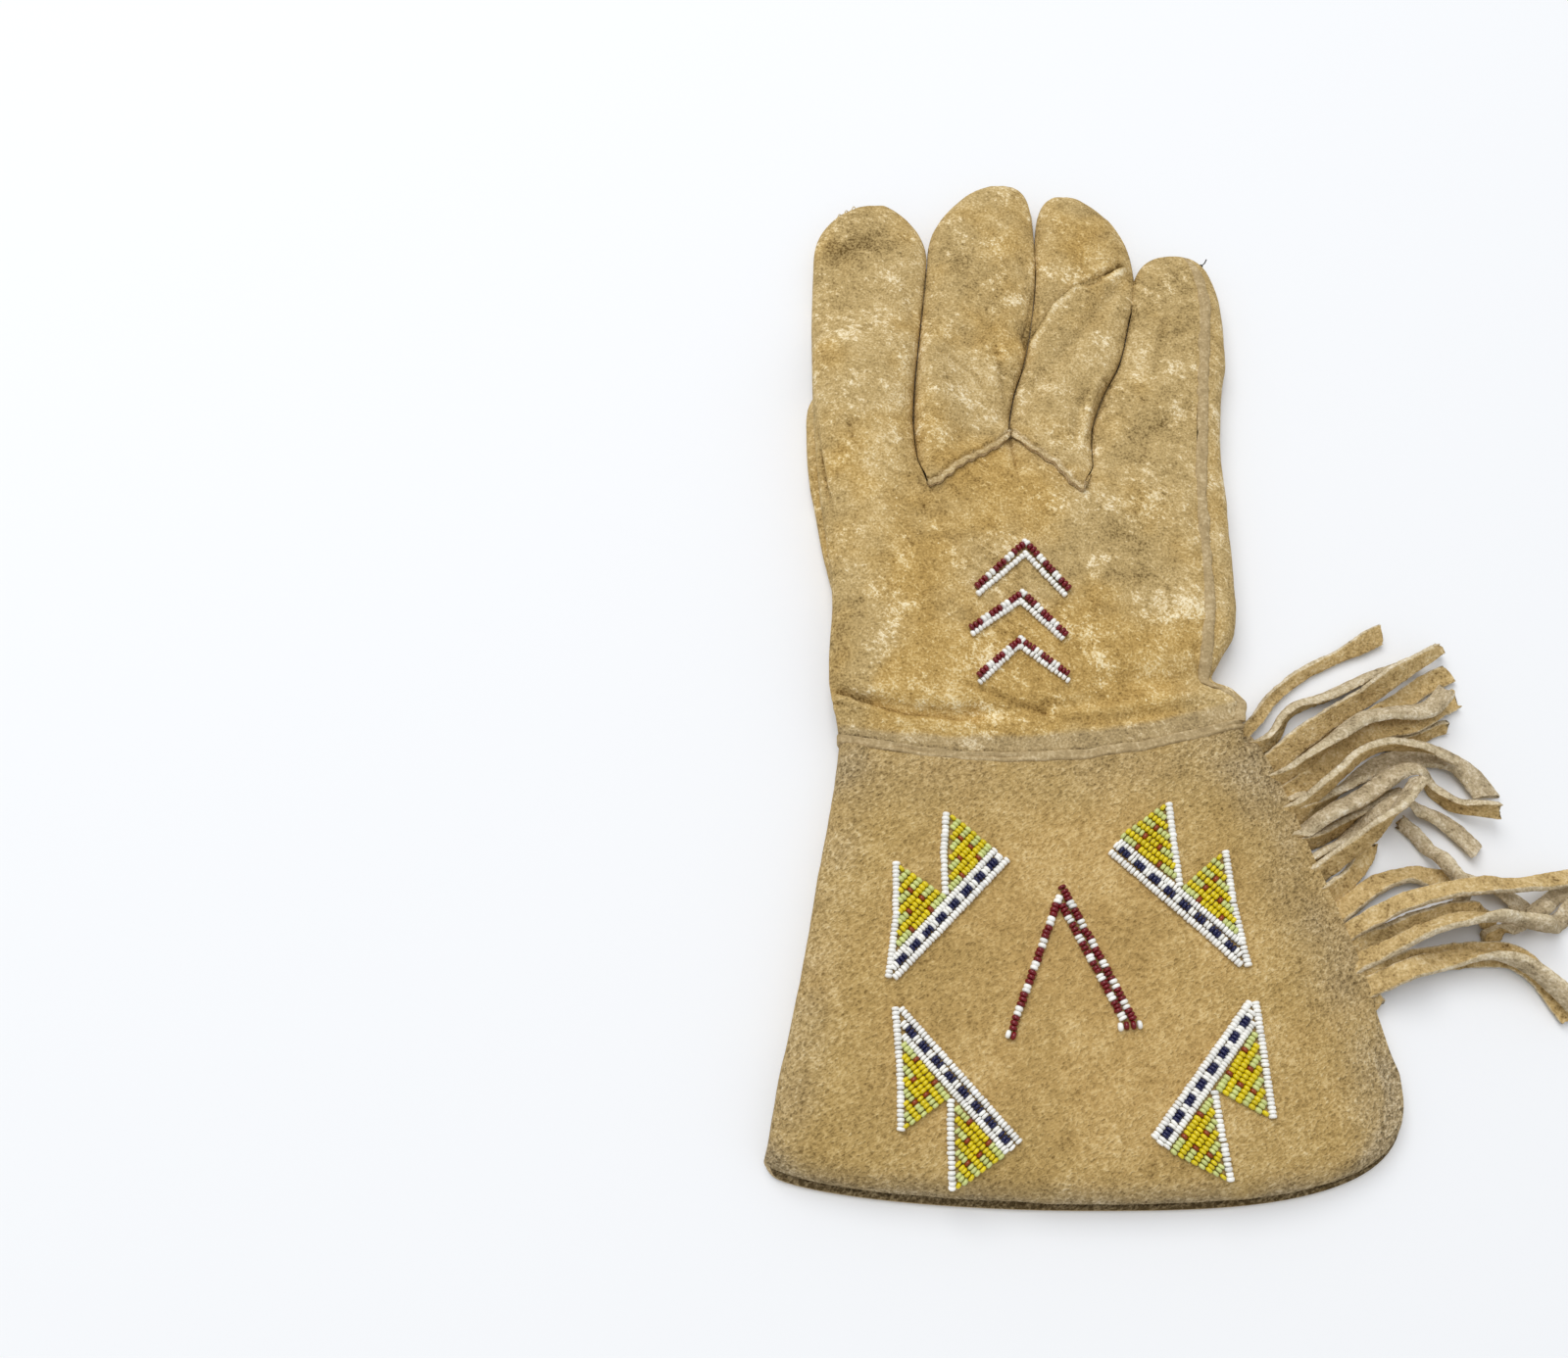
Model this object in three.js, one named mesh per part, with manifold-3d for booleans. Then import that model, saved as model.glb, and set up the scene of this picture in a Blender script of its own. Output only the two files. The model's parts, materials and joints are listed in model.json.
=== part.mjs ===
// Fringed buckskin gauntlet glove for the right hand, lying back up with its thumb folded under the palm.
// Millimetres. X runs to the little-finger side, Y to the fingertips and Z up.
// The origin is under the middle of the cuff, on its flat underside.

import * as THREE from 'three';
import Module from 'manifold-3d';

const wasm = await Module();
wasm.setup();

// Driving dimensions of the hand
const handLength = 222;
const handWidth = 134;
const handThickness = 20;
const fingerThickness = 12.5;
const fingerSeamHeight = 6;
const handLeather = 1.4;
const wristSag = 12;
const foldDepth = 2;

// Driving dimensions of the thumb
const thumbLength = 122;
const thumbWidth = 36;
const thumbThickness = 9;
const thumbLeather = 1.3;
const thumbHoleLength = 44;
const thumbHoleWidth = 24;

// Driving dimensions of the cuff
const cuffLength = 130;
const cuffMouthWidth = 179;
const cuffThickness = 14;
const cuffLeather = 1.8;
const cuffFoldReach = 9;

// Driving dimensions of the welts and the fringe
const sideWeltWidth = 2.8;
const wristWeltWidth = 3;
const weltProud = 0.6;
const fringeLength = 70;
const stripWidth = 5.4;
const stripThickness = 1.5;
const fringeHeadDepth = 7;
const fringeHeadThickness = 1.6;

// Clearances between neighbouring pieces
const seamGap = 0.3;
const fingerGap = 0.8;

// Where the finger seams begin and where the fingers part, as shares of the hand's length
const seamStart = 0.405;
const crotch = 0.515;
const wristY = cuffLength / 2;

// The hand's outline and height by section; at is a share of the hand's length, the edges and seams are
// shares of its width, and the crowns are shares of its thickness
const handSections = {
  names: ['at', 'thumbEdge', 'indexSeam', 'middleSeam', 'ringSeam', 'welt', 'littleEdge', 'crownLeft', 'crownRight'],
  rows: [
    [0.000, -0.463, -0.236, -0.022, 0.132, 0.452, 0.466, 0.62, 0.62],
    [0.028, -0.470, -0.236, -0.022, 0.132, 0.464, 0.480, 0.68, 0.63],
    [0.056, -0.479, -0.236, -0.022, 0.132, 0.430, 0.458, 0.76, 0.64],
    [0.084, -0.485, -0.236, -0.022, 0.132, 0.385, 0.412, 0.84, 0.66],
    [0.110, -0.485, -0.238, -0.022, 0.132, 0.392, 0.432, 0.88, 0.69],
    [0.150, -0.482, -0.240, -0.022, 0.132, 0.402, 0.472, 0.92, 0.72],
    [0.210, -0.475, -0.241, -0.022, 0.132, 0.412, 0.486, 0.97, 0.75],
    [0.300, -0.484, -0.242, -0.022, 0.132, 0.418, 0.491, 1.00, 0.75],
    [0.405, -0.502, -0.245, -0.022, 0.133, 0.425, 0.495, 1.00, 0.75],
    [0.464, -0.509, -0.264, -0.024, 0.170, 0.433, 0.496, 0.98, 0.73],
    [0.523, -0.514, -0.269, -0.027, 0.179, 0.446, 0.503, 0.98, 0.70],
    [0.586, -0.518, -0.263, -0.011, 0.213, 0.462, 0.517, 0.96, 0.68],
    [0.653, -0.519, -0.251, 0.024, 0.268, 0.478, 0.538, 0.90, 0.65],
    [0.720, -0.518, -0.237, 0.048, 0.299, 0.492, 0.547, 0.80, 0.62],
    [0.790, -0.515, -0.223, 0.066, 0.324, 0.500, 0.548, 0.70, 0.60],
    [0.860, -0.511, -0.211, 0.076, 0.330, 0.500, 0.548, 0.65, 0.58],
    [1.000, -0.511, -0.200, 0.086, 0.330, 0.500, 0.548, 0.60, 0.55],
  ],
};

// Each finger's rounded end: where the rounding starts and ends as shares of the hand's length, how far the
// end leans to the little-finger side as a share of half the finger's width, and the leather's height there
// as a share of the finger's thickness at its root
const fingers = [
  { name: 'index', roundStart: 0.892, tip: 0.966, lean: 0.20, endHeight: 0.86 },
  { name: 'middle', roundStart: 0.915, tip: 1.000, lean: 0.30, endHeight: 0.86 },
  { name: 'ring', roundStart: 0.895, tip: 0.984, lean: -0.45, endHeight: 0.86 },
  { name: 'little', roundStart: 0.785, tip: 0.860, lean: -0.15, endHeight: 0.86 },
];

// The thumb's middle line and half width; at is a share of its length from the heel, middle a share of the
// hand's width and half a share of the thumb's width
const thumbSections = {
  names: ['at', 'middle', 'half'],
  rows: [
    [0.00, -0.320, 0.44],
    [0.25, -0.333, 0.46],
    [0.50, -0.368, 0.50],
    [0.75, -0.397, 0.50],
    [1.00, -0.405, 0.48],
  ],
};
const thumbHeel = 0.077 * handLength;

// The cuff's side edges by section; at is a share of its length from the wrist, the edges are shares of the
// mouth's width and the crown is a share of the cuff's thickness
const cuffSections = {
  names: ['at', 'fold', 'seam', 'crown'],
  rows: [
    [0.00, -0.347, 0.362, 0.90],
    [0.12, -0.357, 0.390, 0.96],
    [0.27, -0.372, 0.419, 1.00],
    [0.42, -0.386, 0.444, 1.00],
    [0.56, -0.403, 0.470, 1.00],
    [0.70, -0.424, 0.496, 1.00],
    [0.83, -0.446, 0.516, 1.00],
    [0.92, -0.461, 0.527, 0.93],
    [1.00, -0.471, 0.529, 0.68],
  ],
};

// The strips of the fringe; root is a share of the cuff's seam, heading and the two bends are degrees turned
// from straight to the right, length is a share of the fringe's length, lift is a share of the strip's width
// by which its middle stands off the surface, and twist is degrees turned by its end
const strips = {
  names: ['root', 'heading', 'nearBend', 'farBend', 'length', 'lift', 'twist'],
  rows: [
    [0.030, 66, -70, 24, 0.80, 0.3, 35],
    [0.075, 56, -94, 64, 0.93, 0.2, -25],
    [0.130, 39, -26, 22, 1.03, 0.1, 10],
    [0.180, 37, -16, 6, 1.00, 0.2, 20],
    [0.235, 33, 20, -48, 0.88, 0.3, 35],
    [0.285, 36, 14, -54, 0.86, 0.3, -30],
    [0.340, 41, 15, -130, 1.10, 0.4, 40],
    [0.420, 46, -29, -72, 0.99, 0.5, -35],
    [0.480, 36, 60, -190, 0.92, 0.6, 30],
    [0.535, 22, 21, 28, 0.50, 0.8, 50],
    [0.590, 15, 44, 16, 0.40, 0.6, -50],
    [0.655, 43, -87, 30, 0.80, 0.2, 30],
    [0.710, 27, -66, 56, 1.07, 0.2, 25],
    [0.770, 25, 0, -46, 0.72, 0.2, -20],
    [0.825, 34, -116, 122, 1.00, 0.1, 15],
    [0.880, 20, 54, -172, 1.06, 0.3, 35],
    [0.930, 18, 68, -158, 0.82, 0.3, -30],
    [0.975, 30, 10, -20, 0.13, 0.0, 0],
  ],
};
const fringeEnd = 0.80;

// Folds pressed into the back: each runs between two places given as shares of the hand's width and length,
// and depth and reach are shares of the fold depth and the hand's width
const folds = {
  names: ['fromX', 'fromAt', 'toX', 'toAt', 'depth', 'reach'],
  rows: [
    [-0.480, 0.064, -0.150, 0.060, 1.0, 0.022],
    [-0.150, 0.060, 0.190, 0.074, 0.7, 0.020],
    [0.430, 0.084, 0.150, 0.100, 0.8, 0.026],
    [0.320, 0.820, 0.000, 0.560, 0.8, 0.022],
  ],
};

function clamp(value, low = 0, high = 1) {
  return Math.min(Math.max(value, low), high);
}

function mix(a, b, share) {
  return a + (b - a) * share;
}

function smooth(value) {
  const t = clamp(value);
  return t * t * (3 - 2 * t);
}

// A table's column read at any place by a curve that never overshoots its rows
function read(table, name, at) {
  const column = table.names.indexOf(name);
  const rows = table.rows;
  const last = rows.length - 1;
  if (at <= rows[0][0]) return rows[0][column];
  if (at >= rows[last][0]) return rows[last][column];
  let i = 0;
  while (rows[i + 1][0] < at) i += 1;
  const rise = (j) => (rows[j + 1][column] - rows[j][column]) / (rows[j + 1][0] - rows[j][0]);
  const slope = (j) => {
    if (j === 0) return rise(0);
    if (j === last) return rise(last - 1);
    const before = rise(j - 1);
    const after = rise(j);
    return before * after <= 0 ? 0 : (2 * before * after) / (before + after);
  };
  const span = rows[i + 1][0] - rows[i][0];
  const t = (at - rows[i][0]) / span;
  const start = rows[i][column];
  const end = rows[i + 1][column];
  return start * (1 + 2 * t) * (1 - t) ** 2 + span * slope(i) * t * (1 - t) ** 2
    + end * t * t * (3 - 2 * t) + span * slope(i + 1) * t * t * (t - 1);
}

// Height of a rounded section across its width: 0 at both edges and 1 in the middle
function dome(t, power) {
  return (1 - Math.abs(2 * clamp(t) - 1) ** power) ** (1 / power);
}

// An open surface of shared points that is later given its thickness; held names the axes along which a
// point's wall isn't thickened, so that edges that meet at a seam stay clear of each other
class Sheet {
  constructor() {
    this.points = [];
    this.held = [];
    this.faces = [];
  }

  point(x, y, z, held = '') {
    this.points.push(new THREE.Vector3(x, y, z));
    this.held.push(held);
    return this.points.length - 1;
  }

  // Faces over a grid of point numbers, turned up or down
  grid(rows, turned = false) {
    for (let j = 0; j + 1 < rows.length; j += 1) {
      for (let i = 0; i + 1 < rows[j].length; i += 1) {
        const corners = [rows[j][i], rows[j][i + 1], rows[j + 1][i + 1], rows[j + 1][i]];
        if (turned) corners.reverse();
        this.faces.push([corners[0], corners[1], corners[2]], [corners[0], corners[2], corners[3]]);
      }
    }
  }

  // A closed solid: the surface, its copy set inward by the thickness, and walls along its free edges
  solid(thickness) {
    const faces = this.faces.filter(([a, b, c]) => a !== b && b !== c && c !== a);
    const normals = this.points.map(() => new THREE.Vector3());
    for (const [a, b, c] of faces) {
      const side = this.points[b].clone().sub(this.points[a]);
      const normal = side.cross(this.points[c].clone().sub(this.points[a]));
      for (const corner of [a, b, c]) normals[corner].add(normal);
    }
    normals.forEach((normal, i) => {
      for (const axis of this.held[i]) normal[axis] = 0;
    });
    const count = this.points.length;
    const inner = this.points.map((p, i) => p.clone().addScaledVector(normals[i].normalize(), -thickness));
    const edges = new Set();
    for (const [a, b, c] of faces) {
      for (const [from, to] of [[a, b], [b, c], [c, a]]) edges.add(from * count + to);
    }
    const all = [];
    for (const [a, b, c] of faces) {
      all.push([a, b, c], [a + count, c + count, b + count]);
      for (const [from, to] of [[a, b], [b, c], [c, a]]) {
        if (!edges.has(to * count + from)) {
          all.push([to, from, from + count], [to, from + count, to + count]);
        }
      }
    }
    return geometryOf([...this.points, ...inner], all);
  }
}

function geometryOf(points, faces) {
  const used = new Map();
  const position = [];
  const index = [];
  for (const face of faces) {
    for (const corner of face) {
      if (!used.has(corner)) {
        used.set(corner, position.length / 3);
        position.push(points[corner].x, points[corner].y, points[corner].z);
      }
      index.push(used.get(corner));
    }
  }
  const geometry = new THREE.BufferGeometry();
  geometry.setAttribute('position', new THREE.Float32BufferAttribute(position, 3));
  geometry.setIndex(index);
  return geometry;
}

function toManifold(geometry) {
  const vertProperties = new Float32Array(geometry.attributes.position.array);
  const triVerts = new Uint32Array(geometry.index.array);
  return new wasm.Manifold(new wasm.Mesh({ numProp: 3, vertProperties, triVerts }));
}

function fromManifold(manifold) {
  const mesh = manifold.getMesh();
  const geometry = new THREE.BufferGeometry();
  geometry.setAttribute('position', new THREE.Float32BufferAttribute(mesh.vertProperties, 3));
  geometry.setIndex(Array.from(mesh.triVerts));
  return geometry;
}

// The outer skin of a joined body, so that pockets closed in between crossing strips are filled
function outerSkin(manifold) {
  return manifold.decompose().sort((a, b) => b.volume() - a.volume())[0];
}

// A solid body through closed rings of points, with a fan over each end
function loft(rings) {
  const points = rings.flat();
  const faces = [];
  const around = rings[0].length;
  for (let j = 0; j + 1 < rings.length; j += 1) {
    for (let i = 0; i < around; i += 1) {
      const a = j * around + i;
      const b = j * around + ((i + 1) % around);
      faces.push([a, b, b + around], [a, b + around, a + around]);
    }
  }
  const end = points.length - around;
  for (let i = 1; i + 1 < around; i += 1) {
    faces.push([0, i + 1, i], [end, end + i, end + i + 1]);
  }
  return geometryOf(points, faces);
}

// Places on the hand

function edgeX(name, at) {
  return read(handSections, name, at) * handWidth;
}

function wristRise(x) {
  return wristSag * ((x / handWidth + 0.067) / 0.525) ** 2;
}

function handY(at, x) {
  const fade = 1 - clamp(at / seamStart) ** 1.5;
  return wristY + at * handLength + wristRise(x) * fade;
}

function thumbAt(y) {
  return clamp((y - wristY - thumbHeel) / thumbLength);
}

// How far the folded thumb holds the palm off the surface
function thumbLift(x, y) {
  const at = thumbAt(y);
  const right = read(thumbSections, 'middle', at) * handWidth + read(thumbSections, 'half', at) * thumbWidth;
  const heelY = wristY + thumbHeel;
  const across = smooth(1 - (x - right - 2) / (0.15 * handWidth));
  const fromWrist = smooth((y - wristY) / thumbHeel);
  const toTip = smooth(1 - (y - heelY - thumbLength - 2) / (0.12 * handLength));
  return (thumbThickness + seamGap) * across * fromWrist * toTip;
}

function seamHeight(x, y) {
  return fingerSeamHeight + 0.55 * thumbLift(x, y);
}

// How far a section is on its way from the whole hand to separate fingers
function parted(at) {
  return smooth((at - seamStart) / (crotch - seamStart));
}

function foldDent(x, at) {
  let dent = 0;
  for (const row of folds.rows) {
    const [fromX, fromAt, toX, toAt, depth, reach] = row;
    const along = new THREE.Vector2((toX - fromX) * handWidth, (toAt - fromAt) * handLength);
    const place = new THREE.Vector2(x - fromX * handWidth, (at - fromAt) * handLength);
    const t = place.dot(along) / along.lengthSq();
    const off = place.distanceTo(along.clone().multiplyScalar(clamp(t))) / (reach * handWidth);
    dent += depth * foldDepth * Math.exp(-off * off);
  }
  return dent;
}

// The sides of one finger's column at a section, with half of the gap to its neighbours taken off
function columnSides(column, at) {
  const names = ['thumbEdge', 'indexSeam', 'middleSeam', 'ringSeam', 'littleEdge'];
  const gap = mix(seamGap, fingerGap, parted(at)) / 2;
  const left = edgeX(names[column], at) + (column > 0 ? gap : 0);
  const right = edgeX(names[column + 1], at) - (column < 3 ? gap : 0);
  return [left, right];
}

// At the crotch the two walls lie over each other, so each stands off the seam by its thickness
function crotchLap(at) {
  return handLeather * smooth(1 - (at - crotch) / 0.02) * parted(at);
}

// Height of the back's leather
function topHeight(column, x, at) {
  const y = handY(at, x);
  const seam = seamHeight(x, y);
  const left = edgeX('thumbEdge', at);
  const across = clamp((x - left) / (edgeX('littleEdge', at) - left));
  const crown = mix(read(handSections, 'crownLeft', at), read(handSections, 'crownRight', at), smooth(across));
  const whole = mix(seam, crown * handThickness, dome(across, 3.4));
  const [from, to] = columnSides(column, at);
  const taper = mix(1, fingers[column].endHeight, smooth((at - crotch) / (fingers[column].roundStart - crotch)));
  const acrossFinger = (x - from) / (to - from);
  const outside = (column === 0 && acrossFinger < 0.5) || (column === 3 && acrossFinger > 0.5);
  const crownHeight = 0.8 * thumbLift(x, y) + fingerThickness * taper;
  const finger = mix(seam + (outside ? 0 : crotchLap(at)), crownHeight, dome(acrossFinger, 2.6));
  const dent = foldDent(x, at) * mix(dome(across, 3.4), dome(acrossFinger, 3.4), parted(at));
  return mix(whole, finger, parted(at)) - dent;
}

// Height of the palm's outer face, which lies on the surface or on the thumb
function bottomHeight(column, x, at) {
  const y = handY(at, x);
  const lift = thumbLift(x, y);
  const edge = seamHeight(x, y) - seamGap;
  const seam = edge - crotchLap(at);
  const fromEdge = (x - edgeX('thumbEdge', at)) / (0.14 * handWidth);
  const whole = mix(edge, lift, dome(clamp(fromEdge, 0, 0.5), 4));
  const [from, to] = columnSides(column, at);
  const across = (x - from) / (to - from);
  const outside = column === 0 && across < 0.5;
  const finger = mix(outside ? edge : seam, lift, dome(column < 3 ? across : clamp(across, 0, 0.5), 4));
  return mix(whole, finger, parted(at));
}

// A point of a finger's rounded end: the section is drawn in towards its seam line by the angle reached
function roundedEnd(column, x, at, angle, height) {
  const finger = fingers[column];
  const [left, right] = columnSides(column, at);
  const half = (right - left) / 2;
  const keep = Math.cos(angle) ** 0.85;
  const middle = (left + right) / 2;
  const seam = seamHeight(x, handY(at, x));
  const nearEnd = mix(middle, middle + finger.lean * half, Math.sin(angle) ** 2);
  const y = handY(at, x) + (finger.tip - finger.roundStart) * handLength * Math.sin(angle);
  return [nearEnd + (x - middle) * keep, y, seam + (height - seam) * keep];
}

// Shares across a column, closer together near its sides
function shares(count) {
  return Array.from({ length: count + 1 }, (_, i) => (1 - Math.cos((Math.PI * i) / count)) / 2);
}

// Section places from the wrist to the finger seams, and up each finger
const firstSection = (wristWeltWidth / 2 + seamGap) / handLength;
const lowerSections = [firstSection, 0.028, 0.050, 0.062, 0.074, 0.090, 0.115, 0.155, 0.215, 0.280, 0.345, seamStart];
const seamSteps = [0.25, 0.5, 0.75, 1];
const fingerSteps = [0.16, 0.34, 0.54, 0.77, 1];
const aboveCrotch = crotch + 0.03;
const roundAngles = [0.40, 0.78, 1.08, 1.30];
const backCells = shares(6);
const palmCells = shares(6);

// The middle of the back's seam with its two let-in fingers stands higher than its ends
function archedSection(column, across, at) {
  const toJunction = column === 1 ? across : 1 - across;
  return at + (crotch - seamStart) * toJunction * (at / seamStart) ** 2;
}

function weltSide(at, side) {
  return edgeX('welt', at) + side * (sideWeltWidth / 2 + 1.6 * seamGap);
}

// The right end of the back's leather stops at the side welt
function backX(column, across, at, inset) {
  const [left, right] = columnSides(column, at);
  const names = ['thumbEdge', 'indexSeam', 'middleSeam', 'ringSeam'];
  const from = inset ? left : edgeX(names[column], at);
  if (column === 3) return mix(from, weltSide(at, -1), across);
  return mix(from, inset ? right : edgeX(names[column + 1], at), across);
}

// Below the crotch a let-in finger's edges stand upright against the back's; above it they are level and
// meet the palm's edges half-way up the finger
function backHeld(column, i, at) {
  const last = backCells.length - 1;
  if (column === 3 && i === last) return 'x';
  if (column === 0 && i === 0) return 'z';
  if (i === 0 || i === last) return at < crotch ? 'xy' : 'z';
  return '';
}

function backFinger(sheet, column, firstRow, baseOf) {
  const rows = [firstRow];
  const { roundStart } = fingers[column];
  const levels = [
    ...seamSteps.map((step) => (across) => mix(baseOf(across), aboveCrotch, step)),
    ...fingerSteps.map((step) => () => mix(aboveCrotch, roundStart, step)),
  ];
  for (const level of levels) {
    rows.push(backCells.map((across, i) => {
      const at = level(across);
      const x = backX(column, across, at, true);
      return sheet.point(x, handY(at, x), topHeight(column, x, at), backHeld(column, i, at));
    }));
  }
  for (const angle of roundAngles) {
    rows.push(backCells.map((across, i) => {
      const x = backX(column, across, roundStart, true);
      const end = angle === roundAngles[roundAngles.length - 1];
      const side = backHeld(column, i, roundStart);
      const held = end ? side.replace('z', '') + 'z' : side;
      return sheet.point(...roundedEnd(column, x, roundStart, angle, topHeight(column, x, roundStart)), held);
    }));
  }
  sheet.grid(rows);
}

function handBack() {
  const sheet = new Sheet();
  const tops = [];
  let shared = null;
  for (let column = 0; column < 4; column += 1) {
    const rows = lowerSections.map((section, j) => backCells.map((across, i) => {
      if (column > 0 && i === 0) return shared[j];
      const arched = column === 1 || column === 2;
      let at = arched ? archedSection(column, across, section) : section;
      const atTop = j === lowerSections.length - 1;
      if (arched && atTop) at -= seamGap / handLength;
      const x = backX(column, across, at, false);
      let held = j === 0 ? 'y' : '';
      if (column === 0 && i === 0) held += 'z';
      if (column === 3 && i === backCells.length - 1) held += 'x';
      if (atTop && (arched || (column === 0 && i === backCells.length - 1))) held = 'xy';
      return sheet.point(x, handY(at, x), topHeight(column, x, at), held);
    }));
    sheet.grid(rows);
    shared = rows.map((row) => row[row.length - 1]);
    tops.push(rows[rows.length - 1]);
  }
  backFinger(sheet, 0, tops[0], () => seamStart);
  backFinger(sheet, 3, tops[3], () => seamStart);
  return sheet.solid(handLeather);
}

function letInFinger(column) {
  const sheet = new Sheet();
  const baseOf = (across) => archedSection(column, across, seamStart) + seamGap / handLength;
  const base = backCells.map((across) => {
    const at = baseOf(across);
    const x = backX(column, across, at, true);
    return sheet.point(x, handY(at, x), topHeight(column, x, at), 'xy');
  });
  backFinger(sheet, column, base, baseOf);
  return sheet.solid(handLeather);
}

// The palm's leather round the little-finger side, from under the hand up to the side welt
const wrapAngles = [-0.5, -0.34, -0.17, 0, 0.17, 0.34, 0.5].map((turn) => turn * Math.PI);

function wrapPoint(at, angle) {
  const x = weltSide(at, 1);
  const top = topHeight(3, x, at);
  const reach = Math.max(edgeX('littleEdge', at) - x, 0.6);
  const middle = 0.45 * top;
  const across = Math.abs(Math.cos(angle)) ** 0.8;
  const up = Math.sign(Math.sin(angle)) * Math.abs(Math.sin(angle)) ** 0.8;
  return [x + reach * across, middle + (up > 0 ? top - middle : middle) * up];
}

function palmX(column, across, at, inset) {
  const names = ['thumbEdge', 'indexSeam', 'middleSeam', 'ringSeam'];
  const [left, right] = columnSides(column, at);
  const from = inset ? left : edgeX(names[column], at);
  if (column === 3) return mix(from, weltSide(at, 1), across);
  return mix(from, inset ? right : edgeX(names[column + 1], at), across);
}

function palmHeld(column, i, at, inset) {
  const last = palmCells.length - 1;
  let held = at === firstSection ? 'y' : '';
  if (inset ? i === 0 || (i === last && column < 3) : column === 0 && i === 0) held += 'z';
  if (at === crotch && column < 3 && i === last) held = 'xy';
  return held;
}

function palmSection(sheet, column, at, firstPoint, inset) {
  const row = palmCells.map((across, i) => {
    if (i === 0 && firstPoint !== null) return firstPoint;
    const x = palmX(column, across, at, inset);
    return sheet.point(x, handY(at, x), bottomHeight(column, x, at), palmHeld(column, i, at, inset));
  });
  if (column === 3) {
    wrapAngles.slice(1).forEach((angle, i) => {
      const [x, z] = wrapPoint(at, angle);
      const held = (at === firstSection ? 'y' : '') + (i === wrapAngles.length - 2 ? 'x' : '');
      row.push(sheet.point(x, handY(at, x), z, held));
    });
  }
  return row;
}

function palmFinger(sheet, column, firstRow) {
  const rows = [firstRow];
  const { roundStart } = fingers[column];
  for (const step of [0, ...fingerSteps]) {
    rows.push(palmSection(sheet, column, mix(aboveCrotch, roundStart, step), null, true));
  }
  const full = rows[rows.length - 1];
  for (const angle of roundAngles) {
    rows.push(full.map((number) => {
      const { x, z } = sheet.points[number];
      const end = angle === roundAngles[roundAngles.length - 1];
      const side = sheet.held[number];
      const held = end ? side.replace('z', '') + 'z' : side;
      return sheet.point(...roundedEnd(column, x, roundStart, angle, z), held);
    }));
  }
  sheet.grid(rows, true);
}

const palmSections = [...lowerSections, mix(seamStart, aboveCrotch, 0.5), crotch];

function palm() {
  const sheet = new Sheet();
  const tops = [];
  let shared = palmSections.map(() => null);
  for (let column = 0; column < 4; column += 1) {
    const rows = palmSections.map((at, j) => palmSection(sheet, column, at, shared[j], false));
    sheet.grid(rows, true);
    shared = rows.map((row) => row[palmCells.length - 1]);
    tops.push(rows[rows.length - 1]);
  }
  tops.forEach((top, column) => palmFinger(sheet, column, top));
  return fromManifold(toManifold(sheet.solid(handLeather)).subtract(thumbHoleCutter()));
}

// The oval hole that the thumb shares with the palm
function thumbHoleCutter() {
  const middleX = read(thumbSections, 'middle', 0.26) * handWidth;
  const middleY = wristY + thumbHeel + 0.27 * thumbLength;
  const ring = (z) => Array.from({ length: 20 }, (_, i) => {
    const angle = (2 * Math.PI * i) / 20;
    const x = middleX + (thumbHoleWidth / 2) * Math.cos(angle);
    const y = middleY + (thumbHoleLength / 2) * Math.sin(angle);
    return new THREE.Vector3(x, y, z);
  });
  return toManifold(loft([ring(thumbThickness / 2), ring(handThickness)]));
}

// The thumb's closed tube drawn in by a wall's thickness; 0 gives its outside
function thumbBody(wall) {
  const rounding = thumbWidth * 0.42;
  const rings = [];
  const around = 16;
  const stations = [];
  for (const angle of [1.45, 1.15, 0.75, 0.35]) stations.push([-Math.sin(angle), Math.cos(angle)]);
  for (const at of [0.14, 0.36, 0.60, 0.86]) stations.push([at, 1]);
  for (const angle of [0.35, 0.75, 1.15, 1.45]) stations.push([1 + Math.sin(angle), Math.cos(angle)]);
  for (const [place, keepShare] of stations) {
    const keep = keepShare ** 0.8;
    const inEnd = rounding - wall;
    let along = rounding;
    if (place < 0) along += place * inEnd;
    else if (place > 1) along = thumbLength - rounding + (place - 1) * inEnd;
    else if (place > 0) along = place * thumbLength;
    const at = along / thumbLength;
    const middle = read(thumbSections, 'middle', at) * handWidth;
    const half = (read(thumbSections, 'half', at) * thumbWidth - wall) * keep;
    const high = (thumbThickness / 2 - wall) * keep ** 0.6;
    rings.push(Array.from({ length: around }, (_, i) => {
      const angle = (2 * Math.PI * i) / around;
      const x = middle - half * Math.sign(Math.cos(angle)) * Math.abs(Math.cos(angle)) ** 0.6;
      const z = thumbThickness / 2 + high * Math.sign(Math.sin(angle)) * Math.abs(Math.sin(angle)) ** 0.6;
      return new THREE.Vector3(x, wristY + thumbHeel + along, z);
    }));
  }
  return toManifold(loft(rings));
}

function thumb() {
  return fromManifold(thumbBody(0).subtract(thumbBody(thumbLeather)).subtract(thumbHoleCutter()));
}

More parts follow.
